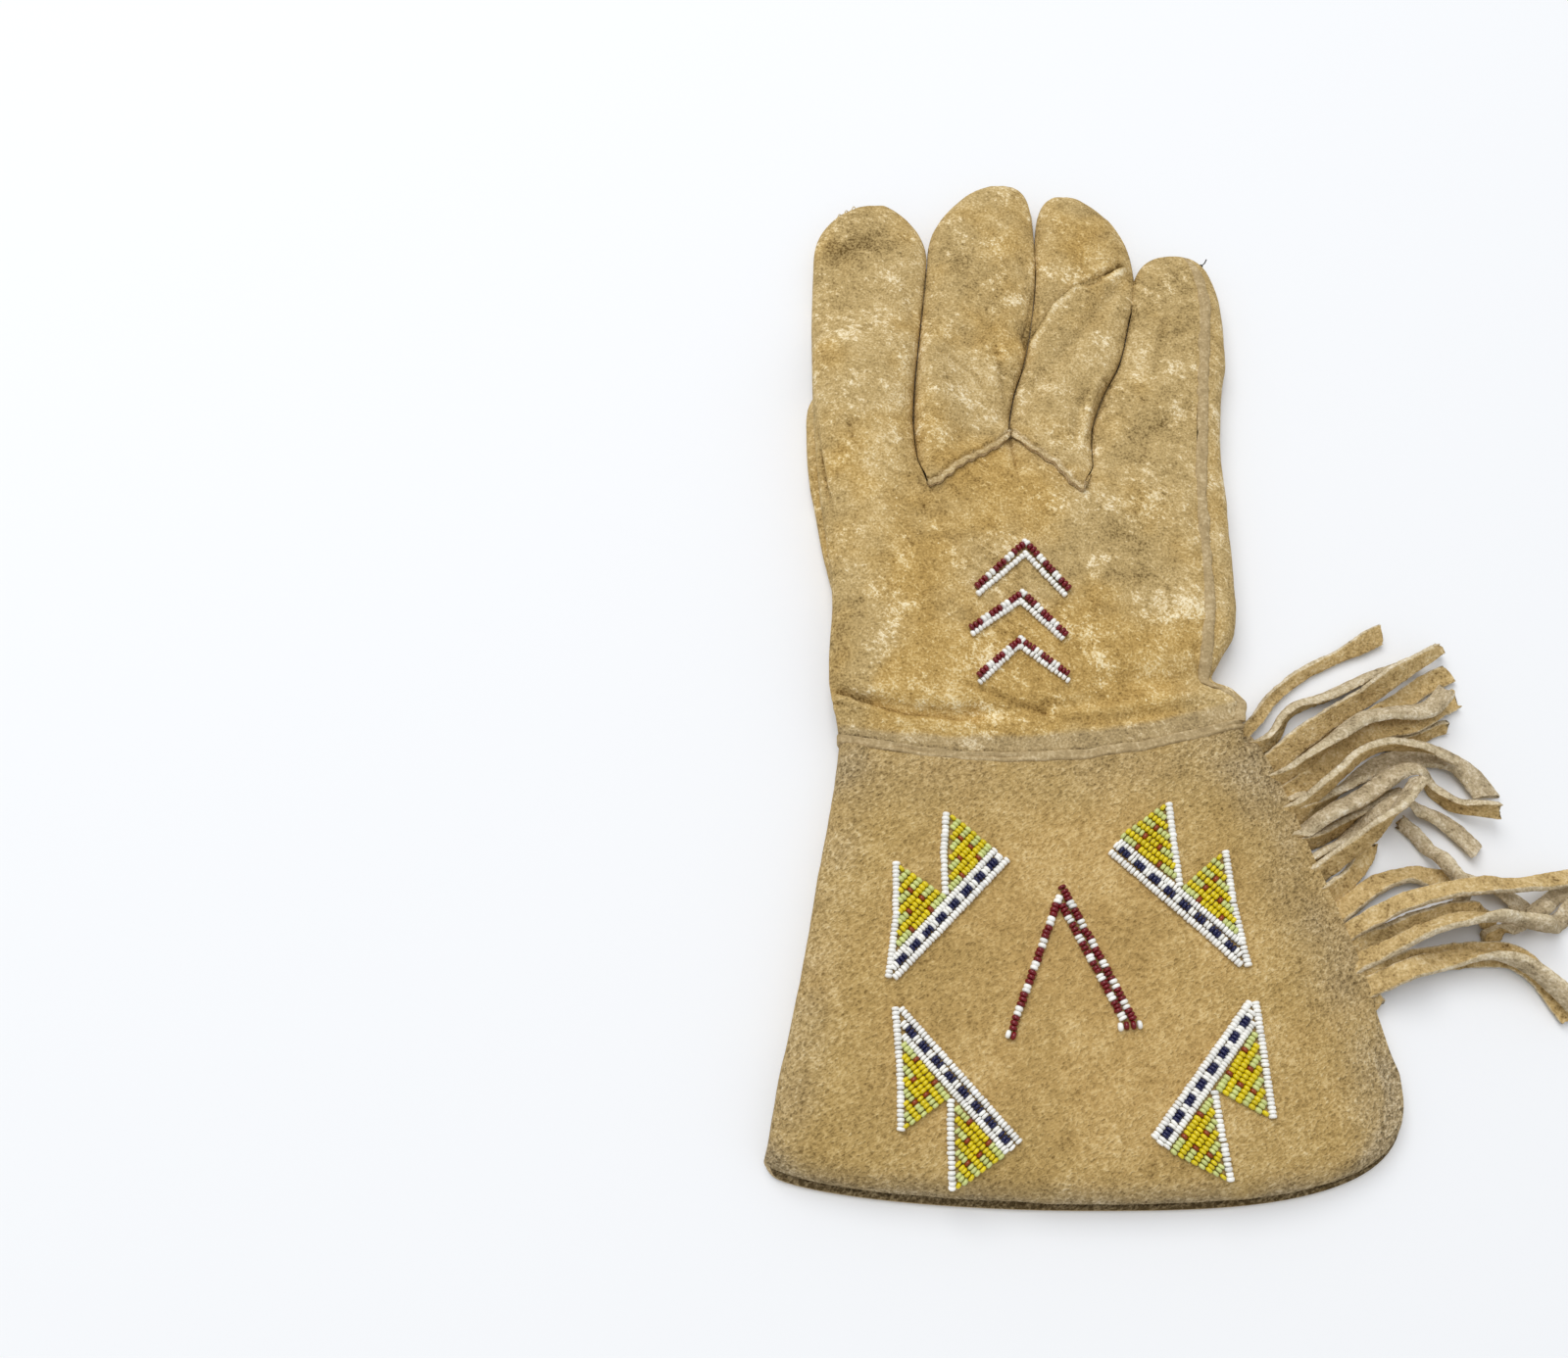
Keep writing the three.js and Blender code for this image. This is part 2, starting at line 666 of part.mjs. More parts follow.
// The side welt follows the back's height from the wrist to the little fingertip
function sideWelt() {
  const rings = [];
  const half = sideWeltWidth / 2;
  const { roundStart } = fingers[3];
  const ringAt = (at, angle) => {
    const middle = edgeX('welt', at);
    const place = [[-half, 0], [-0.5 * half, weltProud], [0.5 * half, weltProud], [half, 0],
      [half, -handLeather], [-half, -handLeather]];
    return place.map(([across, up]) => {
      const x = middle + across;
      const height = topHeight(3, middle, at);
      const [px, py, pz] = angle === null
        ? [x, handY(at, x), height]
        : roundedEnd(3, x, at, angle, height);
      return new THREE.Vector3(px, py, pz + up * (angle === null ? 1 : Math.cos(angle)));
    });
  };
  for (const at of lowerSections) rings.push(ringAt(at, null));
  for (const step of seamSteps) rings.push(ringAt(mix(seamStart, aboveCrotch, step), null));
  for (const step of fingerSteps) rings.push(ringAt(mix(aboveCrotch, roundStart, step), null));
  for (const angle of roundAngles.slice(0, 2)) rings.push(ringAt(roundStart, angle));
  return loft(rings);
}

// The hand's outline at the wrist, once round: over the back, down the little-finger side and back below
function wristLoop() {
  const loop = [];
  for (let column = 0; column < 4; column += 1) {
    for (const across of backCells.slice(column ? 1 : 0)) {
      const x = backX(column, across, 0, false);
      loop.push([x, topHeight(column, x, 0)]);
    }
  }
  for (const angle of [...wrapAngles].reverse()) loop.push(wrapPoint(0, angle));
  for (let column = 3; column >= 0; column -= 1) {
    for (const across of [...palmCells].reverse().slice(1)) {
      const x = palmX(column, across, 0, false);
      loop.push([x, bottomHeight(column, x, 0)]);
    }
  }
  return loop;
}

function wristWelt() {
  const loop = wristLoop();
  const middle = handThickness * 0.31;
  const sides = [[-0.5, 0], [-0.35, 1], [0.35, 1], [0.5, 0], [0.5, -1], [-0.5, -1]];
  const points = [];
  loop.forEach(([x, z]) => {
    const reachX = Math.abs(x) / (handWidth / 2);
    for (const [along, out] of sides) {
      const grow = out > 0 ? weltProud : out * handLeather;
      const up = z > middle ? 1 : -1;
      const px = x + Math.sign(x) * grow * smooth((reachX - 0.8) / 0.1);
      const pz = z + up * grow * smooth(Math.abs(z - middle) / 3);
      points.push(new THREE.Vector3(px, handY(0, px) + along * wristWeltWidth, Math.max(pz, 0)));
    }
  });
  const faces = [];
  const around = sides.length;
  loop.forEach((_, j) => {
    const next = (j + 1) % loop.length;
    for (let i = 0; i < around; i += 1) {
      const k = (i + 1) % around;
      const corners = [j * around + i, j * around + k, next * around + k, next * around + i];
      faces.push([corners[0], corners[2], corners[1]], [corners[0], corners[3], corners[2]]);
    }
  });
  return geometryOf(points, faces);
}

// Places on the cuff

function cuffEdge(name, at) {
  return read(cuffSections, name, at) * cuffMouthWidth;
}

function mouthDrop(across) {
  const right = clamp((across - 0.5) * 2);
  const left = clamp((0.5 - across) * 2);
  const rightDrop = 0.272 * cuffLength * (1 - (1 - right ** 2.6) ** (1 / 2.6));
  const leftDrop = 0.118 * cuffLength * (1 - (1 - left ** 1.7) ** (1 / 1.7));
  return rightDrop + leftDrop;
}

function cuffY(at, x, across) {
  const top = wristY + wristRise(x) - wristWeltWidth / 2 - seamGap;
  const bottom = wristY - cuffLength + mouthDrop(across);
  return mix(top, bottom, at);
}

// Where the upper leather ends over the fringe's head strip and the lower leather
const seamTop = 2 * cuffLeather + 2 * seamGap + fringeHeadThickness;
const headHeight = cuffLeather + seamGap + fringeHeadThickness / 2;

function cuffTop(x, at) {
  const fold = cuffEdge('fold', at);
  const seam = cuffEdge('seam', at);
  const crown = read(cuffSections, 'crown', at) * cuffThickness;
  const nearSeam = clamp(1 - (seam - x) / (0.28 * (seam - fold)));
  const nearFold = clamp((x - fold) / (2 * cuffFoldReach), 0, 0.5);
  return mix(crown, seamTop, nearSeam ** 2.2) * mix(0.5, 1, dome(nearFold, 2.4));
}

const cuffShares = [0, 0.05, 0.14, 0.26, 0.40, 0.54, 0.67, 0.78, 0.87, 0.94, 0.98, 1];
const cuffRows = [0, 0.08, 0.17, 0.29, 0.42, 0.56, 0.70, 0.82, 0.90, 0.96, 1];
const foldAngles = [-0.42, -0.28, -0.14, 0, 0.14, 0.28, 0.42].map((turn) => turn * Math.PI);

function cuff() {
  const sheet = new Sheet();
  const rows = cuffRows.map((at) => {
    const fold = cuffEdge('fold', at);
    const seam = cuffEdge('seam', at);
    const flat = fold + cuffFoldReach;
    const row = [];
    const place = (x, z) => {
      const across = (x - fold) / (seam - fold);
      row.push(sheet.point(x, cuffY(at, x, across), z));
    };
    for (const share of [...cuffShares].reverse()) place(mix(flat, seam, share), 0);
    for (const angle of foldAngles) {
      const middle = read(cuffSections, 'crown', at) * cuffThickness / 2;
      const reach = cuffFoldReach * Math.cos(angle) ** 0.8;
      const up = Math.sign(angle) * Math.abs(Math.sin(angle)) ** 0.8;
      place(flat - reach, middle + middle * up);
    }
    for (const share of cuffShares) place(mix(flat, seam, share), cuffTop(mix(flat, seam, share), at));
    return row;
  });
  sheet.grid(rows, true);
  return sheet.solid(cuffLeather);
}

// A place on the cuff's seam by its share from the wrist to the mouth's corner
function seamPlace(share) {
  const x = cuffEdge('seam', share);
  return new THREE.Vector2(x, cuffY(share, x, 1));
}

function ribbon(stations, width, thickness) {
  return loft(stations.map(({ place, side, up, narrow = 1 }) => {
    const half = side.clone().multiplyScalar((narrow * width) / 2);
    const rise = up.clone().multiplyScalar(thickness / 2);
    return [
      place.clone().sub(half).sub(rise),
      place.clone().add(half).sub(rise),
      place.clone().add(half).add(rise),
      place.clone().sub(half).add(rise),
    ];
  }));
}

// Every second strip lies one strip's thickness higher, over its neighbours
function fringeStrip(row, number) {
  const value = (name) => row[strips.names.indexOf(name)];
  const start = seamPlace(value('root') * fringeEnd);
  const length = value('length') * fringeLength;
  const layer = (number % 2) * 1.2 * stripThickness;
  const steps = Math.max(3, Math.round(length / 9.5));
  const place = new THREE.Vector3(start.x - fringeHeadDepth * 0.4, start.y, headHeight);
  const stations = [];
  const startHeading = THREE.MathUtils.degToRad(value('heading'));
  for (let i = -1; i <= steps; i += 1) {
    const t = Math.max(i, 0) / steps;
    const turn = value('nearBend') * t + value('farBend') * t * t;
    const heading = i < 1 ? 0.35 * startHeading : startHeading + THREE.MathUtils.degToRad(turn);
    const stride = i < 1 ? fringeHeadDepth * 0.35 : length / steps;
    if (i >= 0) {
      place.x += stride * Math.cos(heading);
      place.y += stride * Math.sin(heading);
    }
    const roll = THREE.MathUtils.degToRad(value('twist')) * mix(0.12, 1, smooth(t * 1.2));
    const rest = (stripWidth / 2) * Math.abs(Math.sin(roll)) + (stripThickness / 2) * Math.cos(roll);
    const hump = value('lift') * stripWidth * Math.sin(Math.PI * clamp(t * 1.1)) ** 2;
    const down = smooth((i - 0.5) / 2);
    const side = new THREE.Vector3(-Math.sin(heading), Math.cos(heading), 0);
    const up = new THREE.Vector3(0, 0, 1);
    const axis = new THREE.Vector3(Math.cos(heading), Math.sin(heading), 0);
    stations.push({
      place: new THREE.Vector3(place.x, place.y, mix(headHeight, rest + hump + layer, down)),
      side: side.applyAxisAngle(axis, roll),
      up: up.applyAxisAngle(axis, roll),
      narrow: i < 1 ? 0.6 : 1,
    });
  }
  return toManifold(ribbon(stations, stripWidth, stripThickness));
}

function fringe() {
  const stations = [];
  for (const share of [0.02, 0.14, 0.28, 0.42, 0.56, 0.70, fringeEnd]) {
    const place = seamPlace(share);
    stations.push({
      place: new THREE.Vector3(place.x - fringeHeadDepth / 2, place.y, headHeight),
      side: new THREE.Vector3(1, 0, 0),
      up: new THREE.Vector3(0, 0, 1),
    });
  }
  let body = toManifold(ribbon(stations, fringeHeadDepth, fringeHeadThickness));
  strips.rows.forEach((row, number) => {
    body = body.add(fringeStrip(row, number));
  });
  return fromManifold(outerSkin(body));
}

// Materials

const leather = (color, roughness) => new THREE.MeshStandardMaterial({ color, roughness, metalness: 0 });
const buckskin = 0xc9ab78;
const suede = 0xb3935f;
const fringeTan = 0xc49c66;

const glove = new THREE.Group();

function addPiece(name, geometry, color, roughness) {
  geometry.computeVertexNormals();
  const mesh = new THREE.Mesh(geometry, leather(color, roughness));
  mesh.name = name;
  glove.add(mesh);
}

addPiece('hand_back', handBack(), buckskin, 0.7);
addPiece('middle_finger_back', letInFinger(1), buckskin, 0.7);
addPiece('ring_finger_back', letInFinger(2), buckskin, 0.7);
addPiece('palm', palm(), buckskin, 0.75);
addPiece('thumb', thumb(), buckskin, 0.75);
addPiece('side_welt', sideWelt(), buckskin, 0.75);
addPiece('wrist_welt', wristWelt(), suede, 0.85);
addPiece('cuff', cuff(), suede, 0.9);
addPiece('fringe', fringe(), fringeTan, 0.85);

export default glove;
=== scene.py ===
"""Fringed buckskin gauntlet glove, lying back up: its leather, fringe, beadwork and thread ends."""
import json
import math

import bpy
import numpy as np
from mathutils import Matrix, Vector
from mathutils.bvhtree import BVHTree

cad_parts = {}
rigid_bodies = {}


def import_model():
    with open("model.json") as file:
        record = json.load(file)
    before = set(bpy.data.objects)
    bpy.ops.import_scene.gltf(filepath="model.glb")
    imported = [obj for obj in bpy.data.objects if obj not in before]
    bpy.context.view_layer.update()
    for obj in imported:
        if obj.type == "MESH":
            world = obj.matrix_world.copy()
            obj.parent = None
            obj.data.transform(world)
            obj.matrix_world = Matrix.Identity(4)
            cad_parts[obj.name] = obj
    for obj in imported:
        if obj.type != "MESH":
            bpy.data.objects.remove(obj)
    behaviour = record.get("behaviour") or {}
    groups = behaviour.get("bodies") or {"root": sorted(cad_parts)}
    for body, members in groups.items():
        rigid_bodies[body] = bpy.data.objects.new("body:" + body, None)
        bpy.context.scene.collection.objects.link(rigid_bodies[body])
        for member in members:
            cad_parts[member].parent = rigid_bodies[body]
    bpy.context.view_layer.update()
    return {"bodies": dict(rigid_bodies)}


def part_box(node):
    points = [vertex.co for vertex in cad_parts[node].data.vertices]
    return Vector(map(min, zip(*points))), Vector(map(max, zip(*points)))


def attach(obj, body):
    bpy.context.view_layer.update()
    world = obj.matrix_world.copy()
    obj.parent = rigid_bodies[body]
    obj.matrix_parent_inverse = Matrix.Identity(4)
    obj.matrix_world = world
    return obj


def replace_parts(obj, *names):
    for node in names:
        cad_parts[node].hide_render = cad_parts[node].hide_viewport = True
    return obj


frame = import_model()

MM = 1000.0


# ---- Sizes, in millimetres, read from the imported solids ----

def node_box(name):
    """A node's lowest and highest corners, in millimetres."""
    low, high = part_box(name)
    return np.array(low) * MM, np.array(high) * MM


cuff_low, cuff_high = node_box("cuff")
palm_low, palm_high = node_box("palm")
_, back_high = node_box("hand_back")

# The boxes of the palm and the back as shares of the sizes that they come from
PALM_REACH, PALM_SPAN, BACK_RISE = 0.9969, 1.067, 0.9965

CUFF_LENGTH = -2 * cuff_low[1]
CUFF_MOUTH = cuff_high[0] - cuff_low[0]
CUFF_THICKNESS = cuff_high[2]
WRIST_Y = CUFF_LENGTH / 2
HAND_LENGTH = (palm_high[1] - WRIST_Y) / PALM_REACH
HAND_WIDTH = (palm_high[0] - palm_low[0]) / PALM_SPAN
HAND_THICKNESS = back_high[2] / BACK_RISE
FINGER_THICKNESS = 12.5
FINGER_SEAM_HEIGHT = 6.0
HAND_LEATHER = 1.4
WRIST_SAG = 12.0
THUMB_LENGTH = 122.0
THUMB_WIDTH = 36.0
THUMB_THICKNESS = 9.0
THUMB_HEEL = 0.077 * HAND_LENGTH
THUMB_LEATHER = 1.3
THUMB_HOLE = (24.0, 44.0)
CUFF_LEATHER = 1.8
CUFF_FOLD_REACH = 9.0
SIDE_WELT = 2.8
WRIST_WELT = 3.0
STRIP_WIDTH = 5.4
STRIP_THICKNESS = 1.9
FRINGE_HEAD_DEPTH = 7.0
FRINGE_HEAD_THICKNESS = 1.6
FRINGE_END = 0.80
SEAM_GAP = 0.3
FINGER_GAP = 0.25
SEAM_START = 0.405
CROTCH = 0.515

# The hand's outline and height by section: at is a share of the hand's length, the edges and seams are shares
# of its width and the crowns shares of its thickness
HAND_SECTIONS = {
    "names": ["at", "thumb_edge", "index_seam", "middle_seam", "ring_seam", "welt", "little_edge",
              "crown_left", "crown_right"],
    "rows": [
        [0.000, -0.463, -0.236, -0.022, 0.132, 0.452, 0.466, 0.62, 0.62],
        [0.028, -0.470, -0.236, -0.022, 0.132, 0.464, 0.480, 0.68, 0.63],
        [0.056, -0.479, -0.236, -0.022, 0.132, 0.430, 0.458, 0.76, 0.64],
        [0.084, -0.485, -0.236, -0.022, 0.132, 0.385, 0.412, 0.84, 0.66],
        [0.110, -0.485, -0.238, -0.022, 0.132, 0.392, 0.432, 0.88, 0.69],
        [0.150, -0.482, -0.240, -0.022, 0.132, 0.402, 0.472, 0.92, 0.72],
        [0.210, -0.475, -0.241, -0.022, 0.132, 0.412, 0.486, 0.97, 0.75],
        [0.300, -0.484, -0.242, -0.022, 0.132, 0.418, 0.491, 1.00, 0.75],
        [0.405, -0.502, -0.245, -0.022, 0.133, 0.425, 0.495, 1.00, 0.75],
        [0.464, -0.509, -0.264, -0.024, 0.170, 0.433, 0.496, 0.98, 0.73],
        [0.523, -0.514, -0.269, -0.027, 0.179, 0.446, 0.503, 0.98, 0.70],
        [0.586, -0.518, -0.263, -0.011, 0.213, 0.462, 0.517, 0.96, 0.68],
        [0.653, -0.519, -0.251, 0.024, 0.268, 0.478, 0.538, 0.90, 0.65],
        [0.720, -0.518, -0.237, 0.048, 0.299, 0.492, 0.547, 0.80, 0.62],
        [0.790, -0.515, -0.223, 0.066, 0.324, 0.500, 0.548, 0.70, 0.60],
        [0.860, -0.511, -0.211, 0.076, 0.330, 0.500, 0.548, 0.65, 0.58],
        [1.000, -0.511, -0.200, 0.086, 0.330, 0.500, 0.548, 0.60, 0.55],
    ],
}
SEAM_NAMES = ["thumb_edge", "index_seam", "middle_seam", "ring_seam", "little_edge"]

# Each finger: where its rounding starts and ends, how far the end leans to the little-finger side, and how
# pointed the rounding is on its left and on its right
FINGERS = [
    {"start": 0.850, "tip": 0.961, "lean": 0.24, "left": 0.71, "right": 1.62},
    {"start": 0.849, "tip": 0.999, "lean": 0.33, "left": 1.18, "right": 0.67},
    {"start": 0.829, "tip": 0.979, "lean": -0.26, "left": 0.82, "right": 1.15},
    {"start": 0.748, "tip": 0.858, "lean": -0.03, "left": 0.81, "right": 0.60},
]
END_HEIGHT = 0.86

THUMB_SECTIONS = {
    "names": ["at", "middle", "half"],
    "rows": [
        [0.00, -0.320, 0.44],
        [0.25, -0.333, 0.46],
        [0.50, -0.368, 0.50],
        [0.75, -0.397, 0.50],
        [1.00, -0.405, 0.48],
    ],
}

# The cuff's side edges by section; at is a share of its length from the wrist, the edges are shares of the
# mouth's width and the crown is a share of the cuff's thickness
CUFF_SECTIONS = {
    "names": ["at", "fold", "seam", "crown"],
    "rows": [
        [0.00, -0.347, 0.362, 0.90],
        [0.12, -0.357, 0.390, 0.96],
        [0.27, -0.376, 0.419, 1.00],
        [0.42, -0.393, 0.444, 1.00],
        [0.56, -0.411, 0.470, 1.00],
        [0.70, -0.431, 0.495, 1.00],
        [0.83, -0.451, 0.513, 1.00],
        [0.92, -0.464, 0.525, 0.93],
        [1.00, -0.474, 0.537, 0.68],
    ],
}

# Folds in the back of the hand: from one place to another as shares of the hand's width and length, with the
# depth in millimetres and the reach as a share of the hand's width
FOLDS = {
    "names": ["from_x", "from_at", "to_x", "to_at", "depth", "reach"],
    "rows": [
        [-0.480, 0.064, -0.150, 0.060, 2.2, 0.020],
        [-0.150, 0.060, 0.190, 0.074, 1.4, 0.018],
        [0.430, 0.084, 0.150, 0.100, 1.6, 0.026],
        [0.320, 0.820, 0.000, 0.560, 1.6, 0.022],
    ],
}


# ---- Curves and noise on whole arrays ----

def clamp(value, low=0.0, high=1.0):
    """Values held between low and high."""
    return np.clip(value, low, high)


def mix(a, b, share):
    """The share of the way from a to b."""
    return a + (b - a) * share


def smooth(value):
    """Three t squared less two t cubed, held to 0 and 1 outside."""
    t = clamp(value)
    return t * t * (3 - 2 * t)


def bell(off, reach):
    """A bump of 1 on a line, which falls off as a Gaussian to 1/e at reach."""
    return np.exp(-(off / reach) ** 2)


def circle(count):
    """Angles once round, evenly spaced."""
    return np.linspace(0, 2 * np.pi, count + 1)[:-1]


def bent(value, power):
    """A sine or cosine raised to a power with its sign kept, which makes an ellipse a superellipse."""
    return np.sign(value) * np.abs(value) ** power


def lengths_along(points):
    """The length run at each point of a line."""
    return np.concatenate([[0], np.cumsum(np.linalg.norm(np.diff(points, axis=0), axis=1))])


def resampled(points, reach, spot):
    """A line's points at given lengths along it, linear between its own."""
    return np.stack([np.interp(spot, reach, column) for column in points.T], 1)


def rounded(path, times):
    """A line with its corners rounded by repeated averaging."""
    for _ in range(times):
        path[1:-1] = (path[:-2] + 2 * path[1:-1] + path[2:]) / 4
    return path


def unit(vectors):
    """Each vector over its own length."""
    return vectors / np.linalg.norm(vectors, axis=1)[:, None]


def dome(t, power):
    """Height of a rounded section across its width: 0 at both edges, 1 in the middle, as a superellipse."""
    return np.maximum(1 - np.abs(2 * clamp(t) - 1) ** power, 0) ** (1 / power)


def read(table, name, at):
    """A table's column at the places in at, by cubic pieces whose slopes never overshoot."""
    rows = np.array(table["rows"], float)
    column = rows[:, table["names"].index(name)]
    places = rows[:, 0]
    rise = np.diff(column) / np.diff(places)
    product = rise[:-1] * rise[1:]
    total = np.where(product > 0, rise[:-1] + rise[1:], 1)
    middle = np.where(product > 0, 2 * product / total, 0)
    slope = np.concatenate([rise[:1], middle, rise[-1:]])
    at = np.clip(at, places[0], places[-1])
    i = np.clip(np.searchsorted(places, at, side="right") - 1, 0, len(places) - 2)
    span = places[i + 1] - places[i]
    t = (at - places[i]) / span
    return (column[i] * (1 + 2 * t) * (1 - t) ** 2 + span * slope[i] * t * (1 - t) ** 2
            + column[i + 1] * t * t * (3 - 2 * t) + span * slope[i + 1] * t * t * (t - 1))


def noise(x, y, size, seed, octaves=3):
    """Smooth noise from -1 to 1: random heights on a square lattice, eased between, in octaves."""
    total = np.zeros(np.broadcast(x, y).shape)
    weight = 1.0
    heights = np.random.default_rng(seed).uniform(-1, 1, (64, 64))
    for octave in range(octaves):
        u = np.asarray(x) / size * 2 ** octave + 11.3 * octave
        v = np.asarray(y) / size * 2 ** octave + 5.7 * octave
        i, j = np.floor(u).astype(int), np.floor(v).astype(int)
        s, t = smooth(u - i), smooth(v - j)
        low = mix(heights[i % 64, j % 64], heights[(i + 1) % 64, j % 64], s)
        high = mix(heights[i % 64, (j + 1) % 64], heights[(i + 1) % 64, (j + 1) % 64], s)
        total = total + weight * mix(low, high, t)
        weight *= 0.5
    return total / 1.5


# ---- Places on the hand ----

def edge_x(name, at):
    """A seam's or side's place across the hand: its share in the sections times the hand's width."""
    return read(HAND_SECTIONS, name, at) * HAND_WIDTH


def wrist_rise(x):
    """The wrist seam sags in the middle: it rises with the square of the distance from there."""
    return WRIST_SAG * ((x / HAND_WIDTH + 0.067) / 0.525) ** 2


def hand_y(at, x):
    """Places along the hand; the wrist's curve fades out by a power up to the seams' start."""
    return WRIST_Y + at * HAND_LENGTH + wrist_rise(x) * (1 - clamp(at / SEAM_START) ** 1.5)


def thumb_lift(x, y):
    """How far the folded thumb holds the palm off the surface, eased off round the thumb's outline."""
    at = clamp((y - WRIST_Y - THUMB_HEEL) / THUMB_LENGTH)
    right = read(THUMB_SECTIONS, "middle", at) * HAND_WIDTH + read(THUMB_SECTIONS, "half", at) * THUMB_WIDTH
    across = smooth(1 - (x - right - 2) / (0.15 * HAND_WIDTH))
    from_wrist = smooth((y - WRIST_Y) / THUMB_HEEL)
    to_tip = smooth(1 - (y - WRIST_Y - THUMB_HEEL - THUMB_LENGTH - 2) / (0.12 * HAND_LENGTH))
    return (THUMB_THICKNESS + SEAM_GAP) * across * from_wrist * to_tip


def seam_height(x, y):
    """The fingers' seam height, raised by a little over half of the thumb's lift."""
    return FINGER_SEAM_HEIGHT + 0.55 * thumb_lift(x, y)


def parted(at):
    """How far a section is on its way from the whole hand to separate fingers."""
    return smooth((at - SEAM_START) / (CROTCH - SEAM_START))


def fold_dent(x, at):
    """Summed bell-shaped grooves along the folds' straight lines."""
    dent = 0
    for from_x, from_at, to_x, to_at, depth, reach in FOLDS["rows"]:
        along = np.array([(to_x - from_x) * HAND_WIDTH, (to_at - from_at) * HAND_LENGTH])
        px, py = x - from_x * HAND_WIDTH, (at - from_at) * HAND_LENGTH
        t = clamp((px * along[0] + py * along[1]) / (along @ along))
        off = np.hypot(px - t * along[0], py - t * along[1]) / (reach * HAND_WIDTH)
        dent = dent + depth * np.exp(-off * off)
    return dent


def column_sides(column, at):
    """A finger's two sides: its seams, less half of the gap, which opens as the fingers part."""
    gap = mix(SEAM_GAP, FINGER_GAP, parted(at)) / 2
    left = edge_x(SEAM_NAMES[column], at) + (gap if column > 0 else 0)
    right = edge_x(SEAM_NAMES[column + 1], at) - (gap if column < 3 else 0)
    return left, right


def crotch_lap(at):
    """One leather's thickness up to the crotch, eased out over a fiftieth of the hand's length."""
    return HAND_LEATHER * smooth(1 - (at - CROTCH) / 0.02) * parted(at)


def top_height(column, x, at):
    """The back's height: one dome over the whole hand turns into one dome for each finger."""
    y = hand_y(at, x)
    seam = seam_height(x, y)
    left = edge_x("thumb_edge", at)
    across = clamp((x - left) / (edge_x("little_edge", at) - left))
    crown = mix(read(HAND_SECTIONS, "crown_left", at), read(HAND_SECTIONS, "crown_right", at), smooth(across))
    whole = mix(seam, crown * HAND_THICKNESS, dome(across, 3.4))
    start, end = column_sides(column, at)
    taper = mix(1, END_HEIGHT, smooth((at - CROTCH) / (FINGERS[column]["start"] - CROTCH)))
    share = (x - start) / (end - start)
    outside = (share < 0.5) if column == 0 else (share > 0.5) if column == 3 else np.zeros_like(share, bool)
    crown_height = 0.8 * thumb_lift(x, y) + FINGER_THICKNESS * taper
    finger = mix(seam + np.where(outside, 0, crotch_lap(at)), crown_height, dome(share, 2.6))
    dent = fold_dent(x, at) * mix(dome(across, 3.4), dome(share, 3.4), parted(at))
    return mix(whole, finger, parted(at)) - dent


def bottom_height(column, x, at):
    """The palm's outer face, which lies on the surface or on the thumb and turns up at the seams."""
    y = hand_y(at, x)
    lift = thumb_lift(x, y)
    edge = seam_height(x, y) - SEAM_GAP
    seam = edge - crotch_lap(at)
    from_edge = (x - edge_x("thumb_edge", at)) / (0.14 * HAND_WIDTH)
    whole = mix(edge, lift, dome(clamp(from_edge, 0, 0.5), 4))
    start, end = column_sides(column, at)
    share = (x - start) / (end - start)
    outside = (share < 0.5) if column == 0 else np.zeros_like(share, bool)
    finger = mix(np.where(outside, edge, seam), lift, dome(share if column < 3 else clamp(share, 0, 0.5), 4))
    return mix(whole, finger, parted(at))


def rounded_end(column, x, at, angle, height):
    """A fingertip: its section is drawn in towards the seam line by the angle reached, and leans sideways."""
    finger = FINGERS[column]
    left, right = column_sides(column, at)
    middle, half = (left + right) / 2, (right - left) / 2
    keep = np.cos(angle) ** np.where(x < middle, finger["left"], finger["right"])
    seam = seam_height(x, hand_y(at, x))
    centre = middle + finger["lean"] * half * np.sin(angle) ** 2
    y = hand_y(at, x) + (finger["tip"] - finger["start"]) * HAND_LENGTH * np.sin(angle)
    return centre + (x - middle) * keep, y, seam + (height - seam) * np.cos(angle) ** 0.85


def arched(column, across, at):
    """The back's seam with the two let-in fingers stands higher between them than at its ends."""
    to_junction = {1: across, 2: 1 - across}.get(column, 0 * across)
    return at + (CROTCH - SEAM_START) * to_junction * (at / SEAM_START) ** 2


def welt_side(at, side):
    """Either side of the side welt: its middle, and half its width with a small clearance."""
    return edge_x("welt", at) + side * (SIDE_WELT / 2 + 0.1)


BACK, PALM = -1, 1


def across_x(side, column, across, at, inset):
    """Places across a finger's column between its seams; the last column ends at the welt."""
    left, right = column_sides(column, at)
    start = left if inset else edge_x(SEAM_NAMES[column], at)
    if column == 3:
        return mix(start, welt_side(at, side), across)
    return mix(start, right if inset else edge_x(SEAM_NAMES[column + 1], at), across)


def wrap_point(at, angle):
    """The palm's leather round the little-finger side: half a superellipse from surface to welt."""
    x = welt_side(at, 1)
    top = top_height(3, x, at)
    reach = np.maximum(edge_x("little_edge", at) - x, 0.6)
    middle = 0.45 * top
    up = bent(np.sin(angle), 0.8)
    return x + reach * np.abs(np.cos(angle)) ** 0.8, middle + np.where(up > 0, top - middle, middle) * up


# ---- Places on the cuff ----

def cuff_edge(name, at):
    """The fold's or seam's place across the cuff: its share in the sections times the mouth's width."""
    return read(CUFF_SECTIONS, name, at) * CUFF_MOUTH


# The right and the left corner of the mouth: the height as a share of the cuff's length, and the squareness
MOUTH_CORNERS = [(0.266, 2.95), (0.088, 1.9)]


